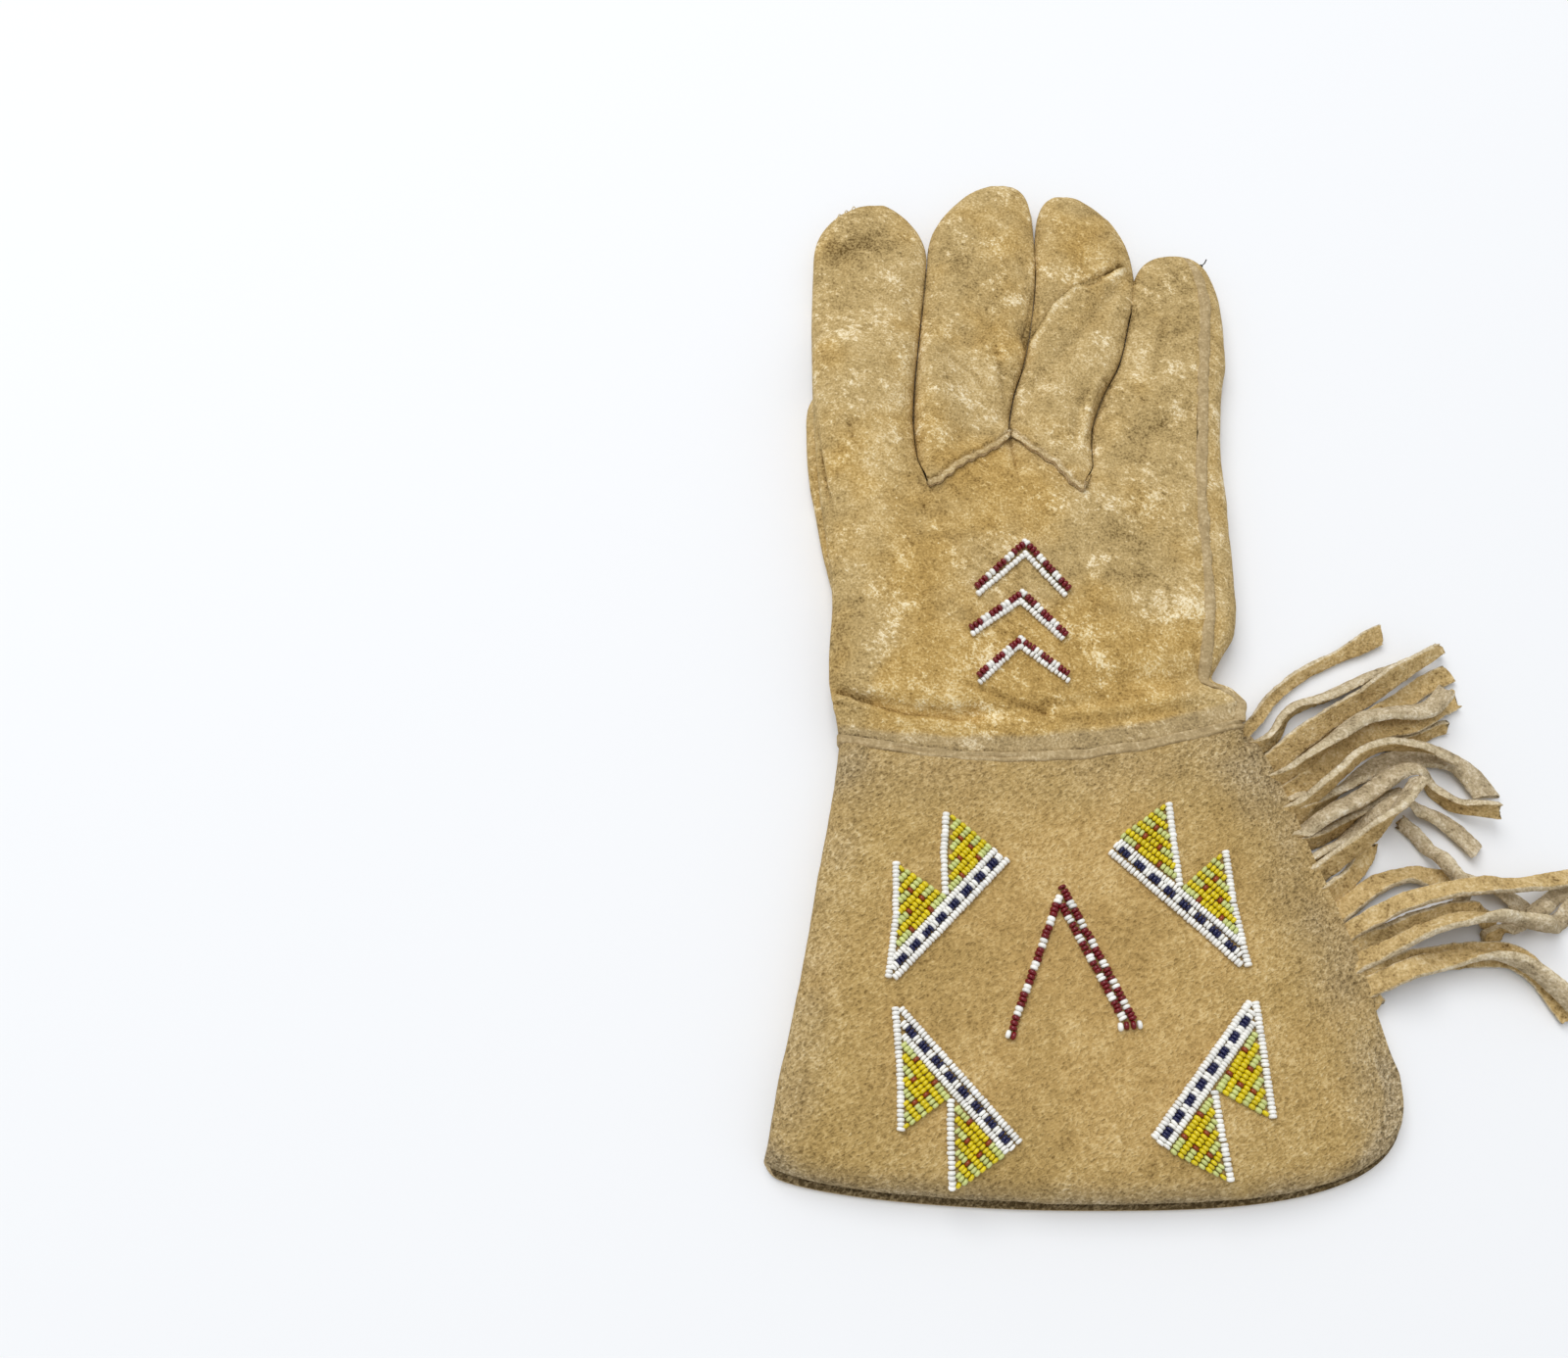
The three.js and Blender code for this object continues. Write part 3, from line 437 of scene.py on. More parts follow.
def mouth_drop(across):
    """How far the mouth's edge turns up at its two rounded corners, as superellipses."""
    right, left = clamp((across - 0.5) * 2), clamp((0.5 - across) * 2)
    return sum(share * CUFF_LENGTH * (1 - (1 - side ** power) ** (1 / power))
               for side, (share, power) in zip((right, left), MOUTH_CORNERS))


def cuff_y(at, x, across):
    """Places along the cuff, in proportion between the wrist's curve and the mouth's edge."""
    top = WRIST_Y + wrist_rise(x) - WRIST_WELT / 2
    bottom = WRIST_Y - CUFF_LENGTH + mouth_drop(across)
    return mix(top, bottom, at)


SEAM_TOP = 2 * CUFF_LEATHER + 2 * SEAM_GAP + FRINGE_HEAD_THICKNESS
HEAD_HEIGHT = CUFF_LEATHER + SEAM_GAP + FRINGE_HEAD_THICKNESS / 2


def cuff_top(x, at):
    """The cuff's upper surface: a crown that falls to the seam by a power and is domed at the fold."""
    fold, seam = cuff_edge("fold", at), cuff_edge("seam", at)
    crown = read(CUFF_SECTIONS, "crown", at) * CUFF_THICKNESS
    near_seam = clamp(1 - (seam - x) / (0.28 * (seam - fold)))
    near_fold = clamp((x - fold) / (2 * CUFF_FOLD_REACH), 0, 0.5)
    return mix(crown, SEAM_TOP, near_seam ** 2.2) * mix(0.5, 1, dome(near_fold, 2.4))


def seam_place(share):
    """Places on the cuff's seam edge, at shares of the cuff's length."""
    x = cuff_edge("seam", share)
    return x, cuff_y(share, x, np.ones_like(share))


# ---- Meshes from grids ----

def quads_of(rows, columns, turned=False, closed=False):
    """Corner numbers of a grid's faces, row by row; closed joins the last column to the first."""
    number = np.arange(rows * columns).reshape(rows, columns)
    if closed:
        number = np.concatenate([number, number[:, :1]], axis=1)
    quads = np.stack([number[:-1, :-1], number[:-1, 1:], number[1:, 1:], number[1:, :-1]], -1).reshape(-1, 4)
    return quads[:, ::-1] if turned else quads


def weld(points, quads):
    """Points that lie on one another become one."""
    keys = np.round(points / 0.004).astype(np.int64)
    _, first, number = np.unique(keys, axis=0, return_index=True, return_inverse=True)
    return first, number.reshape(-1)[quads]


def vertex_normals(points, quads):
    """Each point's normal is the mean of its faces' normals by their area."""
    across = points[quads[:, 2]] - points[quads[:, 0]]
    up = points[quads[:, 3]] - points[quads[:, 1]]
    face = np.cross(across, up)
    total = np.stack([np.bincount(quads.ravel(), np.repeat(face[:, k], 4), len(points)) for k in range(3)], 1)
    return total / np.maximum(np.linalg.norm(total, axis=1), 1e-9)[:, None]


def add_mesh(name, points, faces, material, marks=None, second=None, second_faces=None):
    """A mesh object from points in millimetres; faces is an array of quads, or a list of mixed faces."""
    mesh = bpy.data.meshes.new(name)
    points = np.asarray(points, float) / MM
    if isinstance(faces, np.ndarray):
        mesh.vertices.add(len(points))
        mesh.vertices.foreach_set("co", points.astype(np.float32).ravel())
        mesh.loops.add(faces.size)
        mesh.loops.foreach_set("vertex_index", faces.astype(np.int32).ravel())
        mesh.polygons.add(len(faces))
        mesh.polygons.foreach_set("loop_start", np.arange(0, faces.size, faces.shape[1], dtype=np.int32))
    else:
        mesh.from_pydata(points.tolist(), [], faces)
    for key, values in (marks or {}).items():
        values = np.asarray(values, float)
        if values.ndim == 1:
            mesh.attributes.new(key, "FLOAT", "POINT").data.foreach_set("value", values.astype(np.float32))
        else:
            colour = np.concatenate([values, np.ones((len(values), 1))], 1).astype(np.float32)
            mesh.attributes.new(key, "FLOAT_COLOR", "POINT").data.foreach_set("color", colour.ravel())
    mesh.materials.append(material)
    if second is not None:
        mesh.materials.append(second)
        index = np.zeros(len(mesh.polygons), np.int32)
        index[second_faces] = 1
        mesh.polygons.foreach_set("material_index", index)
    mesh.update(calc_edges=True)
    mesh.validate()
    mesh.shade_smooth()
    mesh.set_sharp_from_angle(angle=math.radians(58))
    piece = bpy.data.objects.new(name, mesh)
    bpy.context.scene.collection.objects.link(piece)
    return piece


def leather_shell(name, patches, thickness, material, edge_material, shape=None, keep=None):
    """A closed leather wall: the welded outer grids, their copy set inward along the normals, and a rim.

    patches are (points, turned) grids; shape moves the outer points along their normals before the wall is
    made, and returns the marks that the materials read; keep drops faces by their middles."""
    points, quads, count = [], [], 0
    for grid, turned in patches:
        rows, columns = grid.shape[:2]
        points.append(grid.reshape(-1, 3))
        quads.append(quads_of(rows, columns, turned) + count)
        count += rows * columns
    points, quads = np.concatenate(points), np.concatenate(quads)
    first, quads = weld(points, quads)
    points = points[first]
    good = (quads[:, 0] != quads[:, 2]) & (quads[:, 1] != quads[:, 3])
    for a, b in ((0, 1), (1, 2), (2, 3), (3, 0)):
        good &= quads[:, a] != quads[:, b]
    quads = quads[good]
    if keep is not None:
        quads = quads[keep(points[quads].mean(axis=1))]
    normals = vertex_normals(points, quads)
    marks = {}
    if shape is not None:
        moved, marks = shape(points, normals)
        points = points + normals * moved[:, None]
        normals = vertex_normals(points, quads)
    inner = points - normals * (thickness if np.ndim(thickness) == 0 else thickness(points)[:, None])
    size = len(points)
    starts, ends = quads.ravel(), np.roll(quads, -1, axis=1).ravel()
    free = ~np.isin(starts * size + ends, ends * size + starts)
    a, b = starts[free], ends[free]
    rim = np.stack([b, a, a + size, b + size], 1)
    faces = np.concatenate([quads, quads[:, ::-1] + size, rim])
    marks = {key: np.concatenate([value, value]) for key, value in marks.items()}
    edge = np.zeros(2 * size)
    edge[np.concatenate([a, b])] = 1
    rim_faces = np.arange(len(faces)) >= 2 * len(quads)
    return add_mesh(name, np.concatenate([points, inner]), faces, material, marks, edge_material, rim_faces)


def profile_along(path, side, up, outline):
    """Rings of points: the outline's two numbers run along side and up at each place of the path."""
    return path[:, None, :] + outline[..., 0:1] * side[:, None, :] + outline[..., 1:2] * up[:, None, :]


def across_and_up(path):
    """The x axis and the z axis, once for each place of a path."""
    return np.tile([1.0, 0, 0], (len(path), 1)), np.tile([0, 0, 1.0], (len(path), 1))


def closed_rod(rings):
    """Points and faces of a tube through rings, with a flat face on each end."""
    count, around = rings.shape[:2]
    faces = quads_of(count, around, closed=True).tolist()
    last = (count - 1) * around
    faces.append(list(range(around))[::-1])
    faces.append([last + i for i in range(around)])
    return rings.reshape(-1, 3), faces


def joined(name, parts, material, marks=None):
    """One mesh object from several lists of points and faces."""
    points, faces, count = [], [], 0
    for part_points, part_faces in parts:
        points.append(part_points)
        faces += [[number + count for number in face] for face in part_faces]
        count += len(part_points)
    return add_mesh(name, np.concatenate(points), faces, material, marks)


# ---- Materials ----

class Value:
    """A socket of a material. Arithmetic on it adds Math nodes."""

    def __init__(self, finish, socket):
        self.finish, self.socket = finish, socket

    def __add__(self, other):
        return self.finish.math("ADD", self, other)

    __radd__ = __add__

    def __sub__(self, other):
        return self.finish.math("SUBTRACT", self, other)

    def __rsub__(self, other):
        return self.finish.math("SUBTRACT", other, self)

    def __mul__(self, other):
        return self.finish.math("MULTIPLY", self, other)

    __rmul__ = __mul__


class Finish:
    """A material made in code. node() adds any node; sockets of the shader are set by shade()."""

    def __init__(self, name):
        self.material = bpy.data.materials.new(name)
        self.material.use_nodes = True
        self.tree = self.material.node_tree
        self.shader = self.tree.nodes["Principled BSDF"]
        self.place = self.node("TexCoord", output="Object")

    def node(self, kind, settings=None, inputs=None, output=0):
        made = self.tree.nodes.new("ShaderNode" + kind)
        for key, value in (settings or {}).items():
            if key == "stops":
                for element, (position, colour) in zip(self._elements(made, len(value)), value):
                    element.position = position
                    element.color = (*colour, 1)
            else:
                setattr(made, key, value)
        for key, value in (inputs or {}).items():
            self.set(made.inputs[key], value)
        return Value(self, made.outputs[output])

    def _elements(self, made, count):
        elements = made.color_ramp.elements
        while len(elements) < count:
            elements.new(0.5)
        return elements

    def set(self, socket, value):
        if isinstance(value, Value):
            self.tree.links.new(value.socket, socket)
        elif socket.type == "RGBA" and len(value) == 3:
            socket.default_value = (*value, 1)
        else:
            socket.default_value = value

    def math(self, operation, first, second):
        return self.node("Math", {"operation": operation}, {0: first, 1: second})

    def noise(self, size, detail=3.0, rough=0.55, stretch=None, where=None):
        """Noise whose features are size millimetres across."""
        vector = self.place if where is None else where
        if stretch is not None:
            vector = self.node("Mapping", {}, {"Vector": vector, "Scale": stretch})
        return self.node("TexNoise", {}, {"Vector": vector, "Scale": MM / size, "Detail": detail,
                                          "Roughness": rough})

    def band(self, value, low, high):
        """0 below low, 1 above high, eased between."""
        return self.node("MapRange", {"interpolation_type": "SMOOTHSTEP"},
                         {"Value": value, "From Min": low, "From Max": high})

    def blend(self, share, first, second):
        """The second colour over the first by share."""
        return self.node("Mix", {"data_type": "RGBA"}, {0: share, 6: first, 7: second}, 2)

    def mark(self, name, output="Fac"):
        return self.node("Attribute", {"attribute_name": name}, output=output)

    def shade(self, **sockets):
        for key, value in sockets.items():
            self.set(self.shader.inputs[key.replace("_", " ")], value)

    def bump(self, height, distance, strength=1.0):
        """A bump of so many millimetres."""
        return self.node("Bump", {}, {"Height": height, "Distance": distance / MM, "Strength": strength})


def srgb(red, green, blue):
    """A colour given as it looks on screen, 0 to 255, in scene light."""
    return tuple(c / 255 / 12.92 if c <= 10 else ((c / 255 + 0.055) / 1.055) ** 2.4
                 for c in (red, green, blue))


def toned(f, tone, dark, middle, light, pale):
    """A colour from dark to pale by a tone that is about 0.5 on plain hide."""
    return f.node("ValToRGB", {"stops": [(0.08, dark), (0.36, mix_colour(dark, middle, 0.76)), (0.50, middle),
                                         (0.66, light), (0.92, pale)]}, {"Fac": tone})


def mix_colour(first, second, share):
    """The colour a share of the way from the first to the second."""
    return tuple(a + (b - a) * share for a, b in zip(first, second))


def buckskin_finish():
    """Smooth smoked hide: golden and greyed patches, short pale scuffs, and dirt with painted shade and
    painted highlight where marks ask for them.
    """
    f = Finish("buckskin")
    wear, grime, warm, dull = f.mark("wear"), f.mark("grime"), f.mark("warm"), f.mark("dull")
    broad = f.noise(30, 3)
    cloud = f.noise(7.5, 3, 0.5)
    turned = f.node("Mapping", {}, {"Vector": f.place, "Rotation": (0, 0, math.radians(38))})
    streak = f.noise(2.4, 3, 0.55, stretch=(0.8, 1.2, 1), where=turned)
    fine = f.noise(0.75, 2, 0.55)
    clusters = 0.7 * (f.noise(12, 2) - 0.5) + wear * 0.12
    scuff = f.band(f.noise(2.4, 5, 0.78, stretch=(0.8, 1.2, 1), where=turned) + clusters, 0.575, 0.70)
    fleck = f.band(f.noise(0.9, 2, 0.5) + 0.5 * clusters, 0.62, 0.72)
    # This mark darkens the tone with real soiling and with painted shade in the creases, under the laps and
    # along the fingers' seams; where it is negative it lightens raised lips and ridges as a painted
    # highlight.
    tone = (0.48 + 0.40 * (broad - 0.5) + 0.50 * (cloud - 0.5) + 0.45 * (streak - 0.5) + 0.95 * (fine - 0.5)
            + 0.20 * scuff + 0.14 * fleck + 0.03 * wear - 0.34 * grime * (0.6 + 0.8 * cloud))
    plain = toned(f, tone, srgb(104, 82, 42), srgb(190, 163, 110), srgb(212, 187, 137), srgb(246, 230, 194))
    golden = toned(f, tone, srgb(108, 76, 26), srgb(190, 154, 87), srgb(213, 181, 116), srgb(247, 229, 184))
    amount = f.band(f.noise(22, 3, 0.5) * 0.85 + warm * 0.38, 0.38, 0.72)
    colour = f.blend(amount * 0.85, plain, golden)
    greyed = toned(f, tone, srgb(102, 86, 58), srgb(176, 153, 111), srgb(197, 175, 134), srgb(226, 209, 174))
    colour = f.blend(dull * 0.9, colour, greyed)
    height = fine * 0.8 + streak * 0.9 + cloud * 0.8
    f.shade(Base_Color=colour, Roughness=0.9, Specular_IOR_Level=0.15, Normal=f.bump(height, 0.65, 1.0))
    return f.material


def suede_finish():
    """Napped suede: short fibres that lie one way, golden where smooth, greyed and nubbed where handled,
    greyed on the low rim partly as painted shade, and darkened as painted shade where the lower sheet shows
    at the mouth.
    """
    f = Finish("suede")
    wear, grime, warm, under = f.mark("wear"), f.mark("grime"), f.mark("warm"), f.mark("under")
    turned = f.node("Mapping", {}, {"Vector": f.place, "Rotation": (0, 0, math.radians(-32))})
    nap = f.noise(0.65, 2, 0.5, stretch=(0.65, 1.3, 1), where=turned)
    tuft = f.noise(1.5, 3, 0.55, stretch=(0.8, 1.15, 1), where=turned)
    nub = f.noise(1.05, 2, 0.5)
    pits = 1 - f.band(nub + 0.35 * (tuft - 0.5), 0.30, 0.52)
    cloud = f.noise(9, 4, 0.6)
    broad = f.noise(34, 3)
    scuff = f.band(f.noise(2.6, 4, 0.66) + 0.4 * (f.noise(14, 2) - 0.5) + wear * 0.22, 0.66, 0.86)
    coarse = 0.84 + 0.22 * grime - 0.16 * warm
    # The under mark subtracts painted shade from the tone on the lower sheet's edge that shows past the
    # rolled mouth.
    tone = (0.51 + 0.34 * (broad - 0.5) + 0.40 * (cloud - 0.5) + 0.22 * scuff - 0.34 * under
            + coarse * (0.95 * (nap - 0.5) + 0.65 * (tuft - 0.5) + 0.4 * grime * (nub - 0.5) - 0.12 * pits))
    golden = toned(f, tone, srgb(114, 84, 36), srgb(189, 156, 98), srgb(209, 179, 122), srgb(236, 214, 168))
    plain = toned(f, tone, srgb(104, 80, 38), srgb(182, 152, 95), srgb(203, 175, 119), srgb(232, 212, 168))
    # Grime, and painted shade on the low rim, both blend towards this greyed colour.
    soiled_and_shaded = toned(f, tone, srgb(104, 86, 56), srgb(170, 149, 112), srgb(196, 175, 138), srgb(224, 208, 174))
    colour = f.blend(f.band(f.noise(26, 3, 0.5) * 0.8 + warm * 0.28, 0.36, 0.75), plain, golden)
    colour = f.blend(grime, colour, soiled_and_shaded)
    height = nap * 0.5 + tuft * 0.4 + grime * nub * 1.5 - pits * 0.25 + cloud * 0.4
    f.shade(Base_Color=colour, Roughness=0.95, Specular_IOR_Level=0.1, Normal=f.bump(height, 0.8, 1.0))
    return f.material


def cut_edge_finish():
    """The pale fibrous cut edge of the hide."""
    f = Finish("cut_edge")
    fibre = f.noise(0.7, 4, 0.7)
    colour = f.blend(f.band(fibre, 0.35, 0.7), srgb(166, 140, 98), srgb(226, 204, 164))
    f.shade(Base_Color=colour, Roughness=0.95, Specular_IOR_Level=0.1, Normal=f.bump(fibre, 0.3, 0.8))
    return f.material


def welt_finish():
    """The welts' narrow strips: handled and greyed, with short cross ridges."""
    f = Finish("welt_leather")
    tone = 0.5 + 0.6 * (f.noise(3.0, 4, 0.6) - 0.5) + 0.7 * (f.noise(0.9, 3, 0.6) - 0.5)
    colour = toned(f, tone, srgb(100, 82, 52), srgb(177, 154, 113), srgb(203, 182, 142), srgb(238, 222, 190))
    f.shade(Base_Color=colour, Roughness=0.9, Specular_IOR_Level=0.15,
            Normal=f.bump(f.noise(0.9, 4, 0.6), 0.4, 0.8))
    return f.material


def fringe_finish():
    """Fringe strips: warm suede on one face, greyed napped flesh on the other and pale along the cuts."""
    f = Finish("fringe_leather")
    back, rim, shade = f.mark("back"), f.mark("rim"), f.mark("shade")
    fibre = f.noise(0.8, 3, 0.6)
    patch = f.noise(5.5, 3, 0.6)
    tone = 0.5 + 0.8 * (patch - 0.5) + 1.0 * (fibre - 0.5) + 0.8 * (f.noise(1.9, 3, 0.6) - 0.5) - 0.06 * shade
    face = toned(f, tone, srgb(106, 79, 40), srgb(204, 174, 118), srgb(220, 193, 141), srgb(240, 222, 180))
    flesh = toned(f, tone, srgb(116, 100, 74), srgb(192, 173, 139), srgb(214, 197, 166), srgb(240, 228, 204))
    cut = toned(f, tone, srgb(140, 120, 86), srgb(213, 196, 162), srgb(232, 218, 190), srgb(248, 240, 222))
    colour = f.blend(back, face, flesh)
    colour = f.blend(rim * 0.85, colour, cut)
    f.shade(Base_Color=colour, Roughness=0.95, Specular_IOR_Level=0.1,
            Normal=f.bump(fibre * 0.7 + patch * 0.5, 1.1, 1.0))
    return f.material


def bead_finish():
    """Glass seed beads, each in its own colour, some of them a little off it."""
    f = Finish("glass_beads")
    colour = f.mark("bead", "Color")
    f.shade(Base_Color=colour, Roughness=0.24, Specular_IOR_Level=0.4, Coat_Weight=0.18, Coat_Roughness=0.08)
    return f.material


def thread_finish():
    """Bare thread: pale, or dark where it is marked so."""
    f = Finish("thread")
    colour = f.blend(f.mark("dark"), srgb(206, 188, 150), srgb(66, 62, 54))
    f.shade(Base_Color=colour, Roughness=0.8, Specular_IOR_Level=0.2)
    return f.material


buckskin = buckskin_finish()
suede = suede_finish()
cut_edge = cut_edge_finish()
welt_leather = welt_finish()
fringe_leather = fringe_finish()
glass = bead_finish()
thread = thread_finish()


# ---- The camera, as the photograph was taken ----

CAMERA_PLACE = (-79.0, -100.6, 458.0)
CAMERA_TILT = math.radians(23.2)
PHOTO_SIZE = (1600, 1386)
LENS = 36.0
SENSOR = 36.0

camera_data = bpy.data.cameras.new("camera")
camera_data.lens = LENS
camera_data.sensor_width = SENSOR
camera_data.sensor_fit = "HORIZONTAL"
camera_data.clip_start = 0.01
camera = bpy.data.objects.new("camera", camera_data)
camera.location = Vector(CAMERA_PLACE) / MM
camera.rotation_euler = (CAMERA_TILT, 0, 0)
bpy.context.scene.collection.objects.link(camera)
bpy.context.scene.camera = camera


def from_photo(points, height):
    """Places in millimetres under pixels of the photograph, at a height above the surface."""
    points = np.atleast_2d(np.asarray(points, float))
    focal = LENS / SENSOR * PHOTO_SIZE[0]
    side = (points[:, 0] - PHOTO_SIZE[0] / 2) / focal
    rise = (PHOTO_SIZE[1] / 2 - points[:, 1]) / focal
    c, s = math.cos(CAMERA_TILT), math.sin(CAMERA_TILT)
    rays = np.stack([side, rise * c + s, rise * s - c], 1)
    reach = (height - CAMERA_PLACE[2]) / rays[:, 2]
    return np.array(CAMERA_PLACE) + rays * np.reshape(reach, (-1, 1))


# ---- Creases and laps, along lines through pixels of the photograph ----

# The height of the back above the surface, near enough to place lines and spots on it
BACK_HEIGHT = 12.0

# Each crease's name, depth, reach and line: the depth is in millimetres, below the surface or, where
# negative, above it, and the reach is half the width
CREASES = [
    ("ring fold's dark end", 1.3, 1.0, [(1097, 291), (1112, 290), (1124, 284), (1140, 270)]),
    ("ring fold's bulge", -1.1, 2.4, [(1088, 292), (1112, 279), (1132, 266), (1146, 258)]),
    ("ring's side bulge", -1.2, 1.7, [(1136, 377), (1120, 389), (1113, 405), (1108, 429), (1103, 455)]),
    ("ring's side valley", 0.9, 1.8, [(1112, 392), (1106, 408), (1101, 430), (1097, 452)]),
    ("ring's side pinch", 1.0, 0.8, [(1122, 387), (1129, 384), (1137, 390)]),
    ("little valley", 1.3, 5.0, [(1233, 410), (1199, 429), (1176, 445), (1152, 468), (1136, 492)]),
    ("little groove", 0.7, 1.2, [(1190, 315), (1184, 357), (1177, 392)]),
    ("little dimple", 0.7, 2.2, [(1199, 332), (1206, 337), (1212, 331)]),
    ("middle line", 0.9, 0.8, [(937, 363), (967, 362), (996, 382), (1010, 404)]),
    ("middle shade", 1.1, 4.0, [(962, 352), (985, 340), (1004, 352)]),
    ("middle side", 1.0, 1.4, [(1019, 340), (1016, 356), (1024, 380), (1029, 408)]),
    ("index tip valley", 0.9, 2.6, [(833, 268), (862, 256), (890, 244), (910, 224)]),
    ("index side", 0.9, 2.0, [(922, 270), (930, 300), (934, 340)]),
    ("wrist tuck", 1.0, 1.1, [(850, 708), (878, 717), (899, 724), (922, 731), (957, 734), (998, 740)]),
    ("wrist tuck's lip", -1.3, 3.0, [(848, 697), (880, 706), (922, 719), (962, 722), (996, 727)]),
    ("wrist ridge", -0.9, 3.2, [(1085, 722), (1130, 724), (1183, 716), (1230, 706)]),
    ("wrist valley", 0.9, 2.0, [(1050, 738), (1096, 737), (1140, 735), (1184, 727), (1226, 719),
     (1256, 714)]),
    ("wrist crease", 0.8, 0.7, [(974, 701), (1003, 708), (1038, 722), (1067, 729), (1096, 734)]),
    ("wrist fork", 0.4, 0.6, [(1064, 713), (1071, 722), (1062, 731)]),
    ("left wrist crease", 0.6, 0.8, [(847, 716), (862, 722), (880, 734)]),
    ("notch crease", 0.9, 1.2, [(1232, 692), (1222, 676), (1219, 655)]),
    ("notch side crease", 0.7, 1.5, [(1230, 697), (1212, 700), (1196, 708)]),
    ("notch bulge", -0.8, 2.5, [(1240, 702), (1254, 708), (1264, 720)]),
    ("left hand crease", 0.8, 0.7, [(864, 436), (868, 455), (875, 467), (880, 473)]),
    ("left hand valley", 0.6, 4.0, [(858, 520), (860, 570), (852, 640)]),
    ("palm dip", 0.8, 7.0, [(1150, 520), (1178, 560), (1196, 610)]),
    ("side bulge", -0.8, 4.0, [(1202, 470), (1206, 540), (1216, 600), (1208, 660)]),
    ("knuckle bulge", -0.7, 6.0, [(912, 430), (905, 490), (900, 560)]),
    ("left edge fold", 1.6, 0.8, [(825, 398), (829, 430), (835, 470), (843, 508), (850, 532)]),
    ("middle of the V", -0.6, 3.5, [(1027, 452), (1028, 480)]),
]

# Folds laid over their neighbours: the name, how far the hide on the left of the line stands over, how far
# that on its right sinks under, the reach, how strongly dirt and painted shade darken the under side and a
# painted highlight lightens the lip, and the line
LAPS = [
    ("ring fold", 1.6, 2.6, 6.0, 1.0, [(1158, 262), (1146, 268), (1120, 282), (1096, 291), (1074, 309),
     (1057, 338), (1048, 352)]),
    ("wrist tuck", 1.3, 1.3, 3.4, 0.2, [(1000, 740), (957, 734), (922, 731), (899, 724), (878, 717),
     (846, 706)]),
]


def along_line(line, x, y):
    """For each place: its distance to a line, on which side it lies, and its share of the line's length."""
    points = from_photo(line, BACK_HEIGHT)[:, :2]
    ends = lengths_along(points)
    nearest, side, share = np.full(np.shape(x), 1e9), np.zeros(np.shape(x)), np.zeros(np.shape(x))
    for (ax, ay), (bx, by), start, end in zip(points[:-1], points[1:], ends[:-1], ends[1:]):
        length = end - start
        ux, uy = (bx - ax) / length, (by - ay) / length
        t = clamp((x - ax) * ux + (y - ay) * uy, 0, length)
        off = np.hypot(x - ax - t * ux, y - ay - t * uy)
        closer = off < nearest
        nearest = np.where(closer, off, nearest)
        side = np.where(closer, np.sign(ux * (y - ay) - uy * (x - ax)), side)
        share = np.where(closer, (start + t) / ends[-1], share)
    return nearest, side, share


def relief(x, y):
    """The creases' grooves and ridges and the laps' eased steps, in millimetres above the surface, and how
    much dirt and painted shade darkens them; where that is negative, a painted highlight lightens ridges and
    lips."""
    total, dirt_and_painted_shade = np.zeros(np.shape(x)), np.zeros(np.shape(x))
    for _, depth, reach, line in CREASES:
        off, _, share = along_line(line, x, y)
        groove = smooth(np.minimum(share, 1 - share) / 0.25 + 0.15) * bell(off, reach)
        total = total - depth * groove
        # Grooves are darkened by dirt and painted shade; ridges, with negative depth, are lightened as a
        # painted highlight.
        dirt_and_painted_shade = dirt_and_painted_shade + 0.55 * depth * groove / max(1, reach / 1.1)
    for _, over, under, reach, lap_dirt_and_shading, line in LAPS:
        off, side, share = along_line(line, x, y)
        fade = smooth(np.minimum(share, 1 - share) / 0.10 + 0.1)
        upper = smooth(off * side + 0.5)
        total = total + fade * mix(-under, over, upper) * np.exp(-off / reach)
        # Painted shade on the under side of the lap and a painted dark line along its edge, less a painted
        # highlight on the lip over it.
        shade = 0.45 * (1 - upper) * np.exp(-off / 3.0)
        dirt_and_painted_shade = dirt_and_painted_shade + fade * lap_dirt_and_shading * (1.5 * bell(off * side + 0.35, 0.6) + shade
                                     - 0.75 * bell(off * side - 1.6, 1.1))
    return total, dirt_and_painted_shade


# ---- Marks of use: where the hide is worn pale, soiled or warm, in photograph pixels ----

def spots(rows, x, y):
    """Soft round marks: each row has a pixel of the photograph, a reach in millimetres and a strength."""
    total = np.zeros(len(x))
    for px, py, reach, strength in rows:
        cx, cy, _ = from_photo((px, py), BACK_HEIGHT)[0]
        total += strength * np.exp(-((x - cx) ** 2 + (y - cy) ** 2) / reach ** 2)
    return total


WORN = [(1013, 248, 6, 1.2), (1040, 300, 7, 0.6), (985, 222, 6, 0.5), (1168, 522, 7, 1.1),
        (1195, 620, 9, 0.9), (1120, 655, 8, 0.6), (1020, 716, 8, 0.5), (1240, 720, 8, 0.5),
        (905, 660, 12, 0.5), (1080, 440, 8, 0.6), (900, 320, 10, 0.4), (1020, 690, 9, 0.4),
        (1005, 620, 9, 0.3), (920, 570, 9, 0.3), (1225, 370, 9, 0.4)]
SOILED = [(858, 250, 6, 0.6), (886, 244, 7, 0.5), (905, 240, 6, 0.3), (852, 640, 10, 0.5),
          (850, 700, 10, 0.4), (1150, 560, 18, 0.25), (1020, 300, 12, 0.2), (1075, 330, 8, 0.3),
          (1140, 400, 8, 0.3)]
WARM = [(990, 480, 14, 0.7), (1040, 500, 14, 0.8), (930, 720, 16, 0.8), (1100, 240, 12, 0.7),
        (880, 480, 16, 0.5), (1010, 730, 14, 0.7), (960, 600, 20, 0.5), (1060, 700, 20, 0.7),
        (880, 560, 14, 0.4), (975, 705, 16, 0.9), (1150, 680, 22, 0.8)]


